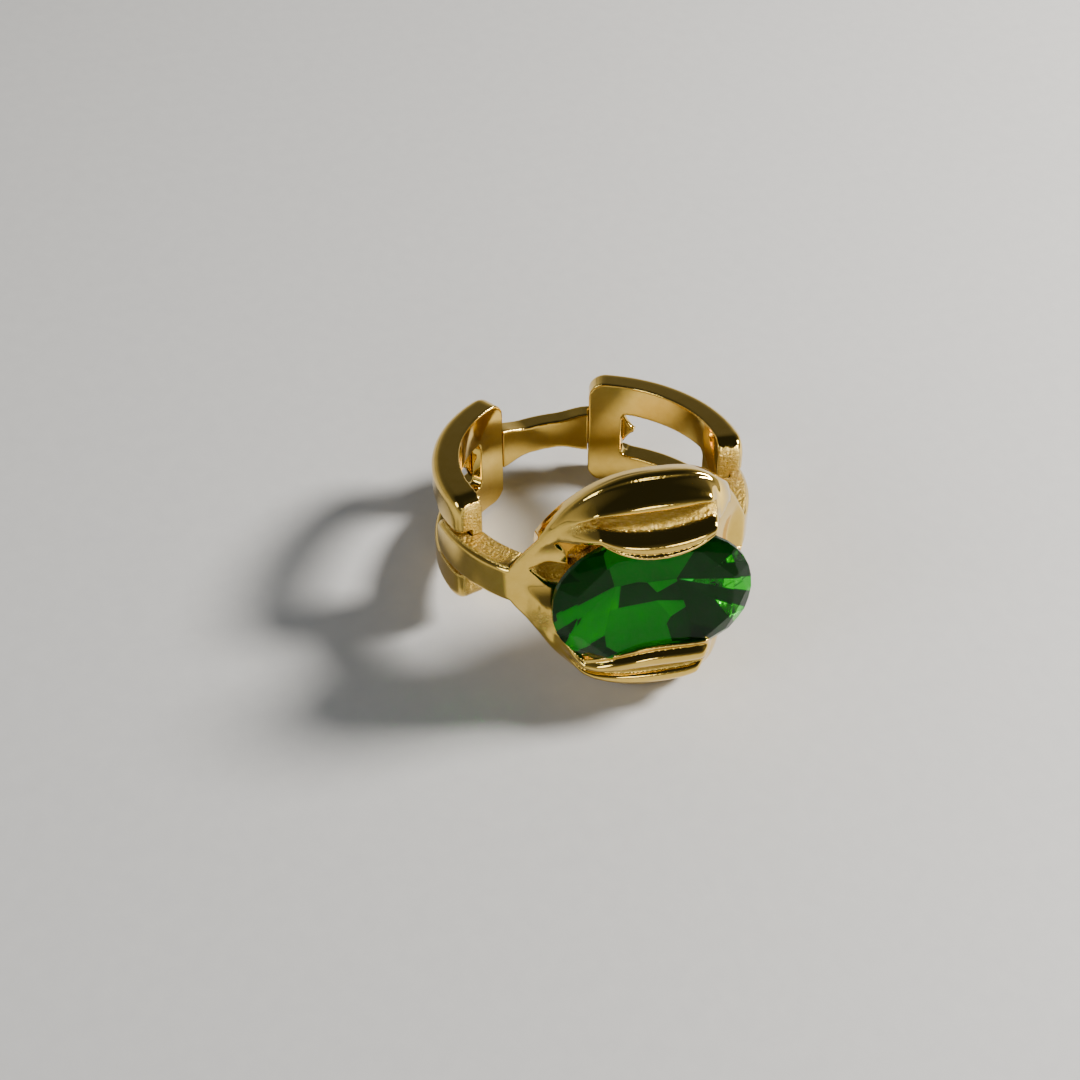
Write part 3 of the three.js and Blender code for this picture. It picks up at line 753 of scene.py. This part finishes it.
def build_back_bridge(node):
    end_width = 2 * (SLOT_HALF - BACK_SLOT_PLAY)
    body_half = math.pi - LINK_BACK - LAP_GAP / FINGER_RADIUS
    tip_half = math.pi - LINK_BACK + BACK_END_ARC + BACK_TAB_REACH
    lap = np.linspace(body_half + LAP_STEP, tip_half, 40)
    rings = []
    for offset in np.concatenate([-lap[::-1], np.linspace(-body_half, body_half, 60), lap]):
        away = abs(offset)
        flare = smooth(BACK_WAIST_SHARE, 1, away / body_half)
        width = BACK_WAIST_WIDTH + (end_width - BACK_WAIST_WIDTH) * flare
        width *= back_tab_share(tip_half - away)
        inner_radius = FINGER_RADIUS if away <= body_half else LAP_RADIUS
        section = np.array(bar_section(width / 2, inner_radius, FINGER_RADIUS + BACK_THICKNESS))
        rings.append(band_point(math.pi + offset, section[:, 1], section[:, 0]))
    piece = soften(skin(node, rings), PASSES)
    paint_metal(piece, np.zeros(len(piece.data.vertices)))
    finish_metal(piece, node)


# ---- Head: outline and heights ----

def head_half(x, side):
    """Half the head's width at x, on its upper (1) or lower (-1) side."""
    away = x - HEAD_WIDEST
    left_reach = HEAD_LEFT_REACH - (UPPER_SETBACK if side > 0 else 0)
    reach = np.where(away < 0, left_reach, HEAD_RIGHT_REACH)
    power = np.where(away < 0, LEFT_OUTLINE_POWER, RIGHT_OUTLINE_POWER)
    widest = UPPER_HALF_WIDTH if side > 0 else LOWER_HALF_WIDTH
    return widest * np.maximum(0, 1 - (np.abs(away) / reach) ** power) ** OUTLINE_FULLNESS


LEFT_ROOT_RISE = circle_rise(FINGER_RADIUS + LEFT_ROOT_THICKNESS, LEFT_JOINT)
RIGHT_ROOT_RISE = circle_rise(FINGER_RADIUS + RIGHT_ROOT_THICKNESS, RIGHT_JOINT)


def rim_height(x):
    fall = (RIM_RISE - LEFT_ROOT_RISE) / (LEFT_JOINT - RIM_CREST) ** 2
    right_rise = RIM_RISE - fall * (RIGHT_JOINT - RIM_CREST) ** 2
    drop = (right_rise - RIGHT_ROOT_RISE) / (RIGHT_JOINT - RIM_DROP_START) ** 2
    return RIM_RISE - fall * (x - RIM_CREST) ** 2 - drop * np.maximum(0, x - RIM_DROP_START) ** 2


def lip_height(x):
    """A lip falls evenly to the left; to the right it stays high and then drops to a bulb."""
    top = TABLE_RISE + STONE_CLEARANCE + LIP_THICKNESS
    if x < 0:
        return top - (top - LEFT_ROOT_RISE + LEFT_LIP_DROP) * abs(x / LEFT_JOINT) ** LIP_FALL_POWER
    fall, share = top - RIGHT_ROOT_RISE - RIGHT_LIP_LIFT, x / RIGHT_JOINT
    blade = top - fall * share**BLADE_POWER
    bulb = top - fall * share**LIP_FALL_POWER
    return blade + (bulb - blade) * smooth(*BLADE_END, x)


def stone_half(x, grow):
    share = np.abs(x) / (STONE_LENGTH / 2 + grow)
    room = np.maximum(0, 1 - share**STONE_FULLNESS)
    return (STONE_WIDTH / 2 + grow) * room ** (1 / STONE_FULLNESS)


def lip_half(x, side):
    """How far from the stone's long axis a claw's lip runs."""
    reach = UPPER_LIP_REACH if side > 0 else LOWER_LIP_REACH
    right_curve = UPPER_LIP_CURVE if side > 0 else LOWER_LIP_CURVE
    away = min(x, LIP_CURVE_END) - LIP_CENTRE
    over_stone = reach + (LEFT_LIP_CURVE if x < LIP_CENTRE else right_curve) * away**2
    if side < 0:
        over_stone += LOWER_LIP_FLARE * smooth(LIP_CURVE_END, LIP_FLARE_END, x)
    beside_stone = stone_half(x, ARM_CLEARANCE) if x < 0 else math.inf
    return min(over_stone, beside_stone, head_half(x, side) - ARM_WIDTH)


def dish_curve(z):
    """How much higher than its middle line the dish lies at a place across the head."""
    across = z - DISH_MIDDLE
    return np.where(across > 0, DISH_UPPER_CURVE, DISH_LOWER_CURVE) * across**2


def face_height(x, z):
    """The head's smooth face round the stone's left end: a shallow dish meeting the bar."""
    dish = DISH_RISE + DISH_SLOPE * (x - DISH_START) + dish_curve(z)
    return soft_min(circle_rise(BAR_FACE_RADIUS, x), dish, DISH_BLEND)


def dish_radius(lean, z):
    """How far from the finger axis the dish lies, along a line leaning off the head's face."""
    level = DISH_RISE + dish_curve(z)
    start = DISH_START + HEAD_SHIFT
    return (level - DISH_SLOPE * start) / (math.cos(lean) - DISH_SLOPE * math.sin(lean))


def dimple(x, z):
    """The depth of the rough hollow left of the stone: a teardrop, pointed away from it."""
    length = smooth(*DIMPLE_RUN, x)
    half = DIMPLE_HALF_WIDTH * length + DIMPLE_TIP
    away = np.abs(z - (DIMPLE_Z - DIMPLE_LEAN * (x - DIMPLE_START))) / half
    return DIMPLE_DEPTH * length * (1 - smooth(*DIMPLE_SIDE, away))


# ---- Leaf claws ----

# Where each of a leaf's two lobes starts and ends, as shares of the way from rim to lip.
UPPER_LOBES = ((0.08, 0.40), (0.59, 0.91))
LOWER_LOBES = ((0.20, 0.47), (0.64, 0.92))
LOBE_HEIGHT = 0.55
LOBE_FULLNESS = 0.7

# Width, as a share of the way, and depth of the vein and of the creases at rim and lip.
UPPER_VEIN = (0.1, 0.5)
LOWER_VEIN = (0.07, 0.35)
RIM_CREASE = (0.042, 0.3)
LIP_CREASE = (0.03, 0.14)

LEAF_START = (-5.6, -3.4)
UPPER_LEAF_END = (3.4, 4.1)
LOWER_LEAF_END = (3.1, 3.9)
ARCH_HEIGHT = 0.25
ARCH_RUN = (-6, -4)

# Depth and width over which a claw's top rounds down to its rim and to its lip.
RIM_FALL = (0.28, 0.18)
LIP_FALL = (0.14, 0.1)

# Inset from the rim and depth below it of the side wall's points.
SIDE_WALL = ((0.35, 1.6), (0.1, 0.9), (0.0, 0.5))

# How near the stone's long axis the claws' inner walls come under its left end.
UPPER_LEDGE = 2.2
LOWER_LEDGE = 0.5
LEDGE_RUN = (-3.4, -4.6)
LEDGE_RISE = 8.9
LEDGE_RISE_RUN = (-3.6, -2.6)
OPEN_RUN = (2.6, 3.6)
SEAT_GAP = 0.2
SEAT_SLOPE = 0.56
LEAST_SEAT_DROP = 0.3


def vein_middle(lobes):
    return (lobes[0][1] + lobes[1][0]) / 2


def leaf_relief(share, side):
    """The height that a leaf's two lobes and the vein between them add, from rim to lip."""
    lobes = UPPER_LOBES if side > 0 else LOWER_LOBES
    height = np.zeros_like(share)
    for low, high in lobes:
        inside = np.clip((share - low) / (high - low), 0, 1)
        height += LOBE_HEIGHT * np.sin(math.pi * inside) ** LOBE_FULLNESS
    for at, (width, depth) in ((lobes[0][0], RIM_CREASE), (lobes[1][1], LIP_CREASE)):
        height -= depth * np.exp(-(((share - at) / width) ** 2))
    width, depth = UPPER_VEIN if side > 0 else LOWER_VEIN
    return height - depth * np.exp(-(((share - vein_middle(lobes)) / width) ** 4))


def arm_share(x):
    """1 where a claw is a plain arm of the dish's face at the left joint, 0 where it is itself."""
    return 1 - smooth(LEFT_JOINT, ARM_END, x)


def claw_top(x, side, rim_z, lip_z):
    """The z and rise of a claw's top face, from rim to lip."""
    shares = np.linspace(0, 1, 72)
    across = rim_z + (lip_z - rim_z) * shares
    slope = rim_height(x) + (lip_height(x) - rim_height(x)) * shares
    arch = ARCH_HEIGHT * np.sin(math.pi * shares) * smooth(*ARCH_RUN, x)
    leaf_end = UPPER_LEAF_END if side > 0 else LOWER_LEAF_END
    leaf = smooth(*LEAF_START, x) * (1 - smooth(*leaf_end, x))
    rim_fall = RIM_FALL[0] * np.exp(-((rim_z - across) / RIM_FALL[1]))
    lip_fall = LIP_FALL[0] * np.exp(-((across - lip_z) / LIP_FALL[1]))
    top = slope + arch + leaf * leaf_relief(shares, side) - rim_fall - lip_fall
    return across, top + (face_height(x, across * side) - rim_fall - top) * arm_share(x)


def inner_wall_z(x, side):
    """How near the stone's long axis a claw's inner wall comes, under the stone."""
    closed = stone_half(x, LAP_GAP - COLLAR_INSET)
    if x < 0:
        ledge = UPPER_LEDGE if side > 0 else LOWER_LEDGE
        return closed + (ledge - closed) * smooth(*LEDGE_RUN, x)
    return closed + (stone_half(x, STONE_CLEARANCE) - closed) * smooth(*OPEN_RUN, x)


def claw_underside(x, side, lip_z, lip_rise):
    """A claw's outline from its lip over the crown, round the girdle and down to the finger."""
    arm = arm_share(x)
    edge_rise = min(GIRDLE_TOP, lip_height(x) - LIP_THICKNESS - STONE_CLEARANCE)
    covers = lip_z < stone_half(x, STONE_CLEARANCE) and edge_rise == GIRDLE_TOP
    edge_z = stone_half(x, STONE_CLEARANCE) if covers else lip_z + STONE_CLEARANCE
    wall_z = min(inner_wall_z(x, side), edge_z)
    under = min(GIRDLE_BOTTOM, edge_rise) - SEAT_GAP - SEAT_SLOPE * (edge_z - wall_z)
    under = under + (min(under, LEDGE_RISE) - under) * (1 - smooth(*LEDGE_RISE_RUN, x))
    edge_z = max(edge_z, lip_z + 0.04)
    edge_z = edge_z + (lip_z - 0.02 - edge_z) * arm
    edge_rise = min(edge_rise, lip_rise - LIP_THICKNESS - STONE_CLEARANCE)
    edge_rise = edge_rise + (lip_rise - edge_rise) * arm
    over_table = TABLE_SHARE * stone_half(x, 0) if covers else 0.0
    knee_z = min(max(lip_z + 0.03, over_table), edge_z - 0.01)
    seat_z = np.linspace(edge_z, wall_z, 8)
    seat_start = edge_rise - 0.02 - (GIRDLE_THICKNESS + STONE_CLEARANCE if covers else 0.0)
    seat_rise = np.linspace(seat_start, min(under, seat_start - LEAST_SEAT_DROP), 8)
    seat_rise = seat_rise + (face_height(x, seat_z * side) - seat_rise) * arm
    lip_under = lip_rise - LIP_THICKNESS * (1 - arm)
    return [
        (lip_z + 0.02 * (1 - arm), lip_under),
        (knee_z, lip_under),
        (edge_z, edge_rise),
        *zip(seat_z, seat_rise),
        (wall_z, circle_rise(FINGER_RADIUS, x)),
    ]


def claw_section(x, side):
    """A claw's outline across the head as (z, rise) points."""
    rim_z, lip_z = head_half(x, side), lip_half(x, side)
    across, top = claw_top(x, side, rim_z, lip_z)
    return np.array([
        (rim_z - SIDE_TAPER, circle_rise(FINGER_RADIUS, x)),
        *((rim_z - inset, rim_height(x) - depth) for inset, depth in SIDE_WALL),
        *zip(across, top),
        *claw_underside(x, side, lip_z, top[-1]),
    ])


def claw_body(side):
    rings = []
    for x in np.linspace(LEFT_JOINT - 0.35, RIGHT_JOINT + 0.25, 150):
        section = claw_section(x, side)
        rings.append(head_point(x, section[:, 1], side * section[:, 0]))
    return skin("claw", rings)


# ---- Shoulders ----

def shoulder_top(side, bearing, reach, root_radius, half, shares, z):
    """A shoulder's outer radius across its width: dished on the left, scooped on the right."""
    top = BAR_RADIUS + (root_radius - BAR_RADIUS) * smooth(*ROOT_RISE_RUN, reach) + 0 * shares
    if side < 0:
        lean = side * bearing - HEAD_TURN
        top = soft_min(top, dish_radius(lean, z - HEAD_RISE), ROOT_DISH_BLEND)
        top = top - dimple(top * math.sin(lean) - HEAD_SHIFT, z - HEAD_RISE)
    else:
        top = top - SCOOP_DEPTH * smooth(*SCOOP_RUN, reach) * (1 - shares**2)
    from_edge = half * (1 - np.abs(shares))
    return top - np.maximum(0, BAR_BEVEL - from_edge)


def shoulder_body(side):
    """A bar lapped over its link, flaring into a root under the head."""
    joint = LEFT_JOINT if side < 0 else RIGHT_JOINT
    root_radius = FINGER_RADIUS + (LEFT_ROOT_THICKNESS if side < 0 else RIGHT_ROOT_THICKNESS)
    joint_bearing = abs(math.asin((joint + HEAD_SHIFT) / root_radius) + HEAD_TURN)
    upper, lower = head_half(joint, 1), head_half(joint, -1)
    root_half, root_middle = (upper + lower) / 2, HEAD_RISE + (upper - lower) / 2
    tip = LINK_FRONT + FRONT_END_ARC - TAB_SETBACK
    body_start = LINK_FRONT - LAP_GAP / FINGER_RADIUS
    bearings = np.concatenate([
        np.linspace(tip, body_start + LAP_STEP, 30),
        np.linspace(body_start, ROOT_BEARING, 24),
        np.linspace(ROOT_BEARING, joint_bearing - ROOT_OVERLAP, 70)[1:],
    ])
    shares = np.linspace(-1, 1, 60)
    rings = []
    for bearing in bearings:
        reach = (ROOT_BEARING - bearing) / (ROOT_BEARING - joint_bearing)
        flare = min(1, max(0, reach)) ** ROOT_FLARE_POWER
        bar = (SLOT_HALF - SHOULDER_SLOT_PLAY) * tab_share(tip - bearing)
        tuck = 1 - ROOT_TUCK * smooth(*ROOT_TUCK_RUN, reach)
        half = (bar + (root_half - bar) * flare) * tuck
        inner_half = half - SIDE_TAPER * flare
        middle = root_middle * flare
        inner_radius = FINGER_RADIUS if bearing <= body_start else LAP_RADIUS
        z = middle + half * shares
        top = shoulder_top(side, bearing, reach, root_radius, half, shares, z)
        outer = band_point(side * bearing, top, z)
        inner = band_point(side * bearing, inner_radius, middle + inner_half * shares[::-1])
        rings.append(np.concatenate([outer, inner]))
    return skin("shoulder", rings)


# ---- Casting: the shoulders and claws together ----

CAST_LEAF_START = (-5.4, -3.6)
CAST_LEAF_END = (3.7, 4.0)
CAST_VEIN = (0.08, 0.13)
LOWER_VEIN_NARROWING = 1.5
CAST_RIM_RISE = FINGER_RADIUS + 0.8
CAST_RISE_RUN = (0.0, 0.4)
BAR_SIDE_FACING = (0.72, 0.95)
BAR_SIDE_BEARINGS = (51, 53)
CAST_DIMPLE_DEPTHS = (0.1, 0.35)
DIMPLE_TOP = 9.5
PATCH_PLACE = (-6.4, -2.7)
PATCH_SIZE = (0.7, 0.6)
PATCH_CAST = 0.7


def vein_cast(x, rise, z):
    """1 in the rough groove between a leaf's lobes."""
    upper = z > 0
    stations = np.linspace(LEFT_JOINT - 2, RIGHT_JOINT + 1, 300)
    lips = [np.interp(x, stations, [lip_half(v, side) for v in stations]) for side in (1, -1)]
    lip = np.where(upper, *lips)
    rim = np.where(upper, head_half(x, 1), head_half(x, -1))
    share = (rim - np.abs(z)) / np.maximum(rim - lip, 0.1)
    middle = np.where(upper, vein_middle(UPPER_LOBES), vein_middle(LOWER_LOBES))
    off_vein = np.abs(share - middle) * np.where(upper, 1, LOWER_VEIN_NARROWING)
    leaf = smooth(*CAST_LEAF_START, x) * (1 - smooth(*CAST_LEAF_END, x))
    return (1 - smooth(*CAST_VEIN, off_vein)) * leaf * smooth(*CAST_RISE_RUN, rise - CAST_RIM_RISE)


def casting_cast(body):
    """1 where the casting stays rough: veins, the bars' sides, the dimple and a small patch."""
    place, facing = vectors_of(body, "co"), vectors_of(body, "normal")
    x, rise, z = in_head(place)
    bearing = np.degrees(np.arctan2(np.abs(place[:, 0]), -place[:, 1]))
    bar_side = smooth(*BAR_SIDE_FACING, np.abs(facing[:, 2])) * smooth(*BAR_SIDE_BEARINGS, bearing)
    hollow = smooth(*CAST_DIMPLE_DEPTHS, dimple(x, z)) * (rise < DIMPLE_TOP)
    off_x, off_z = (x - PATCH_PLACE[0]) / PATCH_SIZE[0], (z - PATCH_PLACE[1]) / PATCH_SIZE[1]
    patch = PATCH_CAST * np.exp(-(off_x**2) - off_z**2)
    return np.clip(np.maximum.reduce([vein_cast(x, rise, z), bar_side, hollow, patch]), 0, 1)


def build_casting():
    """The shoulders and claws, fused and softened as one casting and cut where they are joined."""
    body = joined("casting", [shoulder_body(-1), shoulder_body(1), claw_body(1), claw_body(-1)])
    soften(body, PASSES)
    paint_metal(body, casting_cast(body))
    left_cut = Vector(head_point(LEFT_JOINT, 0, 0))
    right_cut = Vector(head_point(RIGHT_JOINT, 0, 0))
    split = Vector(head_point(0, 0, 0))
    along = Vector((math.cos(HEAD_TURN), math.sin(HEAD_TURN), 0))
    up = Vector((0, 0, 1))
    without_left = half_of("without left", body, left_cut, -along)
    middle = half_of("middle", without_left, right_cut, along)
    made = {
        "left_shoulder": half_of("left", body, left_cut, along),
        "right_shoulder": half_of("right", body, right_cut, -along),
        "upper_leaf_claw": half_of("upper", middle, split, -up),
        "lower_leaf_claw": half_of("lower", middle, split, up),
    }
    for used in (body, without_left, middle):
        bpy.data.objects.remove(used)
    for node, piece in made.items():
        finish_metal(piece, node)


# ---- Collar and stone ----

def stone_outline(grow, steps):
    turns = np.linspace(0, 2 * math.pi, steps, endpoint=False)
    power = 2 / STONE_FULLNESS
    x = np.sign(np.cos(turns)) * np.abs(np.cos(turns)) ** power * (STONE_LENGTH / 2 + grow)
    z = np.sign(np.sin(turns)) * np.abs(np.sin(turns)) ** power * (STONE_WIDTH / 2 + grow)
    return x, z


def build_collar(node):
    outer_x, outer_z = stone_outline(-COLLAR_INSET, 160)
    inner_x, inner_z = stone_outline(-COLLAR_INSET - COLLAR_WALL, 160)
    seat = GIRDLE_RISE - COLLAR_DROP
    rings = np.stack([
        head_point(outer_x, circle_rise(FINGER_RADIUS, outer_x), outer_z),
        head_point(outer_x, seat, outer_z),
        head_point(inner_x, seat - COLLAR_SLOPE, inner_z),
        head_point(inner_x, circle_rise(FINGER_RADIUS, inner_x), inner_z),
    ], 1)
    piece = soften(skin(node, rings, looped=True), PASSES)
    paint_metal(piece, np.full(len(piece.data.vertices), COLLAR_CAST))
    finish_metal(piece, node)


def slice_off(body, turn, low, high):
    """Cuts a facet: everything beyond the plane through two (rise, distance) places."""
    rise_gap, distance_gap = high[0] - low[0], high[1] - low[1]
    out = Vector((math.cos(turn) * rise_gap, -distance_gap, math.sin(turn) * rise_gap)).normalized()
    point = Vector((low[1] * math.cos(turn), low[0], low[1] * math.sin(turn)))
    geometry = body.verts[:] + body.edges[:] + body.faces[:]
    bmesh.ops.bisect_plane(
        body, geom=geometry, plane_co=point, plane_no=out, clear_outer=True, dist=MERGE_DISTANCE
    )
    rim = [edge for edge in body.edges if edge.is_boundary]
    if rim:
        bmesh.ops.contextual_create(body, geom=rim)


def stone_blank(x, z):
    """The uncut stone: its outline, from keel to table."""
    body = bmesh.new()
    lower = [body.verts.new((a, KEEL_RISE, b)) for a, b in zip(x, z)]
    upper = [body.verts.new((a, TABLE_RISE, b)) for a, b in zip(x, z)]
    body.faces.new(lower)
    body.faces.new(upper[::-1])
    for at in range(len(lower)):
        after = (at + 1) % len(lower)
        body.faces.new((lower[at], upper[at], upper[after], lower[after]))
    return body


def cut_stone():
    """The stone with its facets cut, as a bmesh with the head frame's rise along Y."""
    x, z = stone_outline(0, 40)
    body = stone_blank(x, z)
    break_rise = GIRDLE_BOTTOM - PAVILION_DEPTH * BREAK_DEPTH
    for facet in range(16):
        turn = (facet + 0.5) * math.pi / 8
        edge = (x * math.cos(turn) + z * math.sin(turn)).max()
        slice_off(body, turn, (GIRDLE_TOP, edge), (TABLE_RISE, edge * (1 + 3 * TABLE_SHARE) / 4))
        slice_off(body, turn, (break_rise, edge * BREAK_EDGE), (GIRDLE_BOTTOM, edge))
    star_rise = GIRDLE_TOP + CROWN_HEIGHT * STAR_START
    for facet in range(8):
        turn = facet * math.pi / 4
        edge = (x * math.cos(turn) + z * math.sin(turn)).max()
        slice_off(body, turn, (star_rise, edge), (TABLE_RISE, edge * TABLE_SHARE))
        keel_edge = KEEL_LENGTH / 2 * abs(math.cos(turn))
        slice_off(body, turn, (KEEL_RISE, keel_edge), (GIRDLE_BOTTOM, edge))
    bmesh.ops.recalc_face_normals(body, faces=body.faces)
    return body


# Where the pavilion's kinds of facet lie, and how much shade is painted on the foil behind each
# kind.
BREAK_FACETS_FROM = GIRDLE_RISE - 0.7
END_FACETS_FROM = 3.0
TIP_FACETS_FROM = 4.5
CLEAR_FROM = 4.4
BREAK_SHADE = 0.95
END_SHADE = 0.9
LIT_END_SHADE = 0.15
UPPER_SHADE = 0.45
LOWER_SHADE = 0.0


def facet_shade(place):
    """Painted shade on a pavilion facet's foil, for the stone's inner reflections: black round the
    rim, bright by the keel.
    """
    if place.y > BREAK_FACETS_FROM:
        return BREAK_SHADE
    if abs(place.x) > END_FACETS_FROM:
        lit = -TIP_FACETS_FROM < place.x < 0 and place.z < 0
        return LIT_END_SHADE if lit else END_SHADE
    return UPPER_SHADE if place.z > 0 else LOWER_SHADE


def build_stone(node):
    """The stone, foiled behind except at its right end, where light comes through."""
    piece = object_from(node, cut_stone())
    mesh = piece.data
    foil = [face.normal.y < -0.3 and face.center.x < CLEAR_FROM for face in mesh.polygons]
    paint(mesh, "foil", "FACE", foil)
    # Painted shade on the foil, per facet.
    paint(mesh, "shade", "FACE", [facet_shade(face.center) for face in mesh.polygons])
    moved = head_point(*vectors_of(piece, "co").T)
    mesh.vertices.foreach_set("co", moved.astype(np.float32).ravel())
    turned = bmesh.new()
    turned.from_mesh(mesh)
    bmesh.ops.recalc_face_normals(turned, faces=turned.faces)
    turned.to_mesh(mesh)
    turned.free()
    finish_piece(piece, node, GLASS, smooth_faces=False)


# ---- Stage ----

def direction(azimuth, elevation):
    """A unit vector: azimuth 0 is the front, -Y, and grows towards the right, +X."""
    a, e = math.radians(azimuth), math.radians(elevation)
    return Vector((math.sin(a) * math.cos(e), -math.cos(a) * math.cos(e), math.sin(e)))


def build_floor():
    bpy.ops.mesh.primitive_plane_add(size=4, location=(0, 0, -0.02 * MM))
    floor = bpy.context.object
    floor.name = "floor"
    floor.data.materials.append(floor_material())


def area_light(name, target, azimuth, elevation, distance, size, power, color):
    light = bpy.data.lights.new(name, "AREA")
    light.shape = "DISK"
    light.size = size
    light.energy = power
    light.color = color
    lamp = bpy.data.objects.new(name, light)
    back = direction(azimuth, elevation)
    lamp.location = target + back * distance
    lamp.rotation_euler = (-back).to_track_quat("-Z", "Y").to_euler()
    bpy.context.scene.collection.objects.link(lamp)


def build_lights():
    low, high = cad_box
    centre = (low + high) / 2
    area_light(
        "key", centre, azimuth=86, elevation=36, distance=0.30, size=0.08, power=2.3,
        color=(1.0, 0.96, 0.90),
    )
    area_light(
        "fill", centre, azimuth=-80, elevation=30, distance=0.34, size=0.14, power=0.35,
        color=(0.90, 0.95, 1.0),
    )
    area_light(
        "front", centre, azimuth=-5, elevation=22, distance=0.36, size=0.10, power=0.14,
        color=(1.0, 0.98, 0.95),
    )


# The studio's walls: a place up the sky, as the sine of its elevation, and its light.
HORIZON = (0.02, (0.62, 0.60, 0.57, 1))
HALF_WAY = (0.35, (0.13, 0.13, 0.13, 1))
ZENITH = (0.80, (0.025, 0.028, 0.03, 1))
SKY_STRENGTH = 0.9


def build_world():
    world = bpy.data.worlds.new("studio")
    bpy.context.scene.world = world
    world.use_nodes = True
    tree = world.node_tree
    coordinates = tree.nodes.new("ShaderNodeTexCoord")
    parts = tree.nodes.new("ShaderNodeSeparateXYZ")
    ramp = tree.nodes.new("ShaderNodeValToRGB")
    stops = ramp.color_ramp.elements
    stops[0].position, stops[0].color = HORIZON
    stops[1].position, stops[1].color = ZENITH
    stops.new(HALF_WAY[0]).color = HALF_WAY[1]
    tree.links.new(coordinates.outputs["Generated"], parts.inputs[0])
    tree.links.new(parts.outputs["Z"], ramp.inputs[0])
    tree.links.new(ramp.outputs[0], tree.nodes["Background"].inputs["Color"])
    tree.nodes["Background"].inputs["Strength"].default_value = SKY_STRENGTH


# The camera: where it looks from, in degrees, what it aims at, in millimetres, and its lens.
CAMERA_AZIMUTH = -25.33
CAMERA_ELEVATION = 47.68
CAMERA_ROLL = math.radians(6.28)
CAMERA_DISTANCE = 105.25
CAMERA_AIM = (-4.446, -0.647, 5.886)
CAMERA_LENS = 53.33
CAMERA_SENSOR = 36


def build_camera():
    back = direction(CAMERA_AZIMUTH, CAMERA_ELEVATION)
    azimuth = math.radians(CAMERA_AZIMUTH)
    level = Vector((math.cos(azimuth), math.sin(azimuth), 0))
    rise = back.cross(level)
    right = level * math.cos(CAMERA_ROLL) + rise * math.sin(CAMERA_ROLL)
    up = rise * math.cos(CAMERA_ROLL) - level * math.sin(CAMERA_ROLL)
    camera = bpy.data.objects.new("camera", bpy.data.cameras.new("camera"))
    camera.data.lens = CAMERA_LENS
    camera.data.sensor_width = CAMERA_SENSOR
    camera.data.clip_start = 1 * MM
    camera.data.clip_end = 10
    turn = Matrix((right, up, back)).transposed().to_4x4()
    place = (Vector(CAMERA_AIM) + back * CAMERA_DISTANCE) * MM
    camera.matrix_world = Matrix.Translation(place) @ turn
    bpy.context.scene.collection.objects.link(camera)
    bpy.context.scene.camera = camera


build_camera()
build_floor()
build_lights()
build_world()
build_link(-1, "left_link")
build_link(1, "right_link")
build_back_bridge("back_bridge")
build_casting()
build_collar("stone_collar")
build_stone("green_stone")
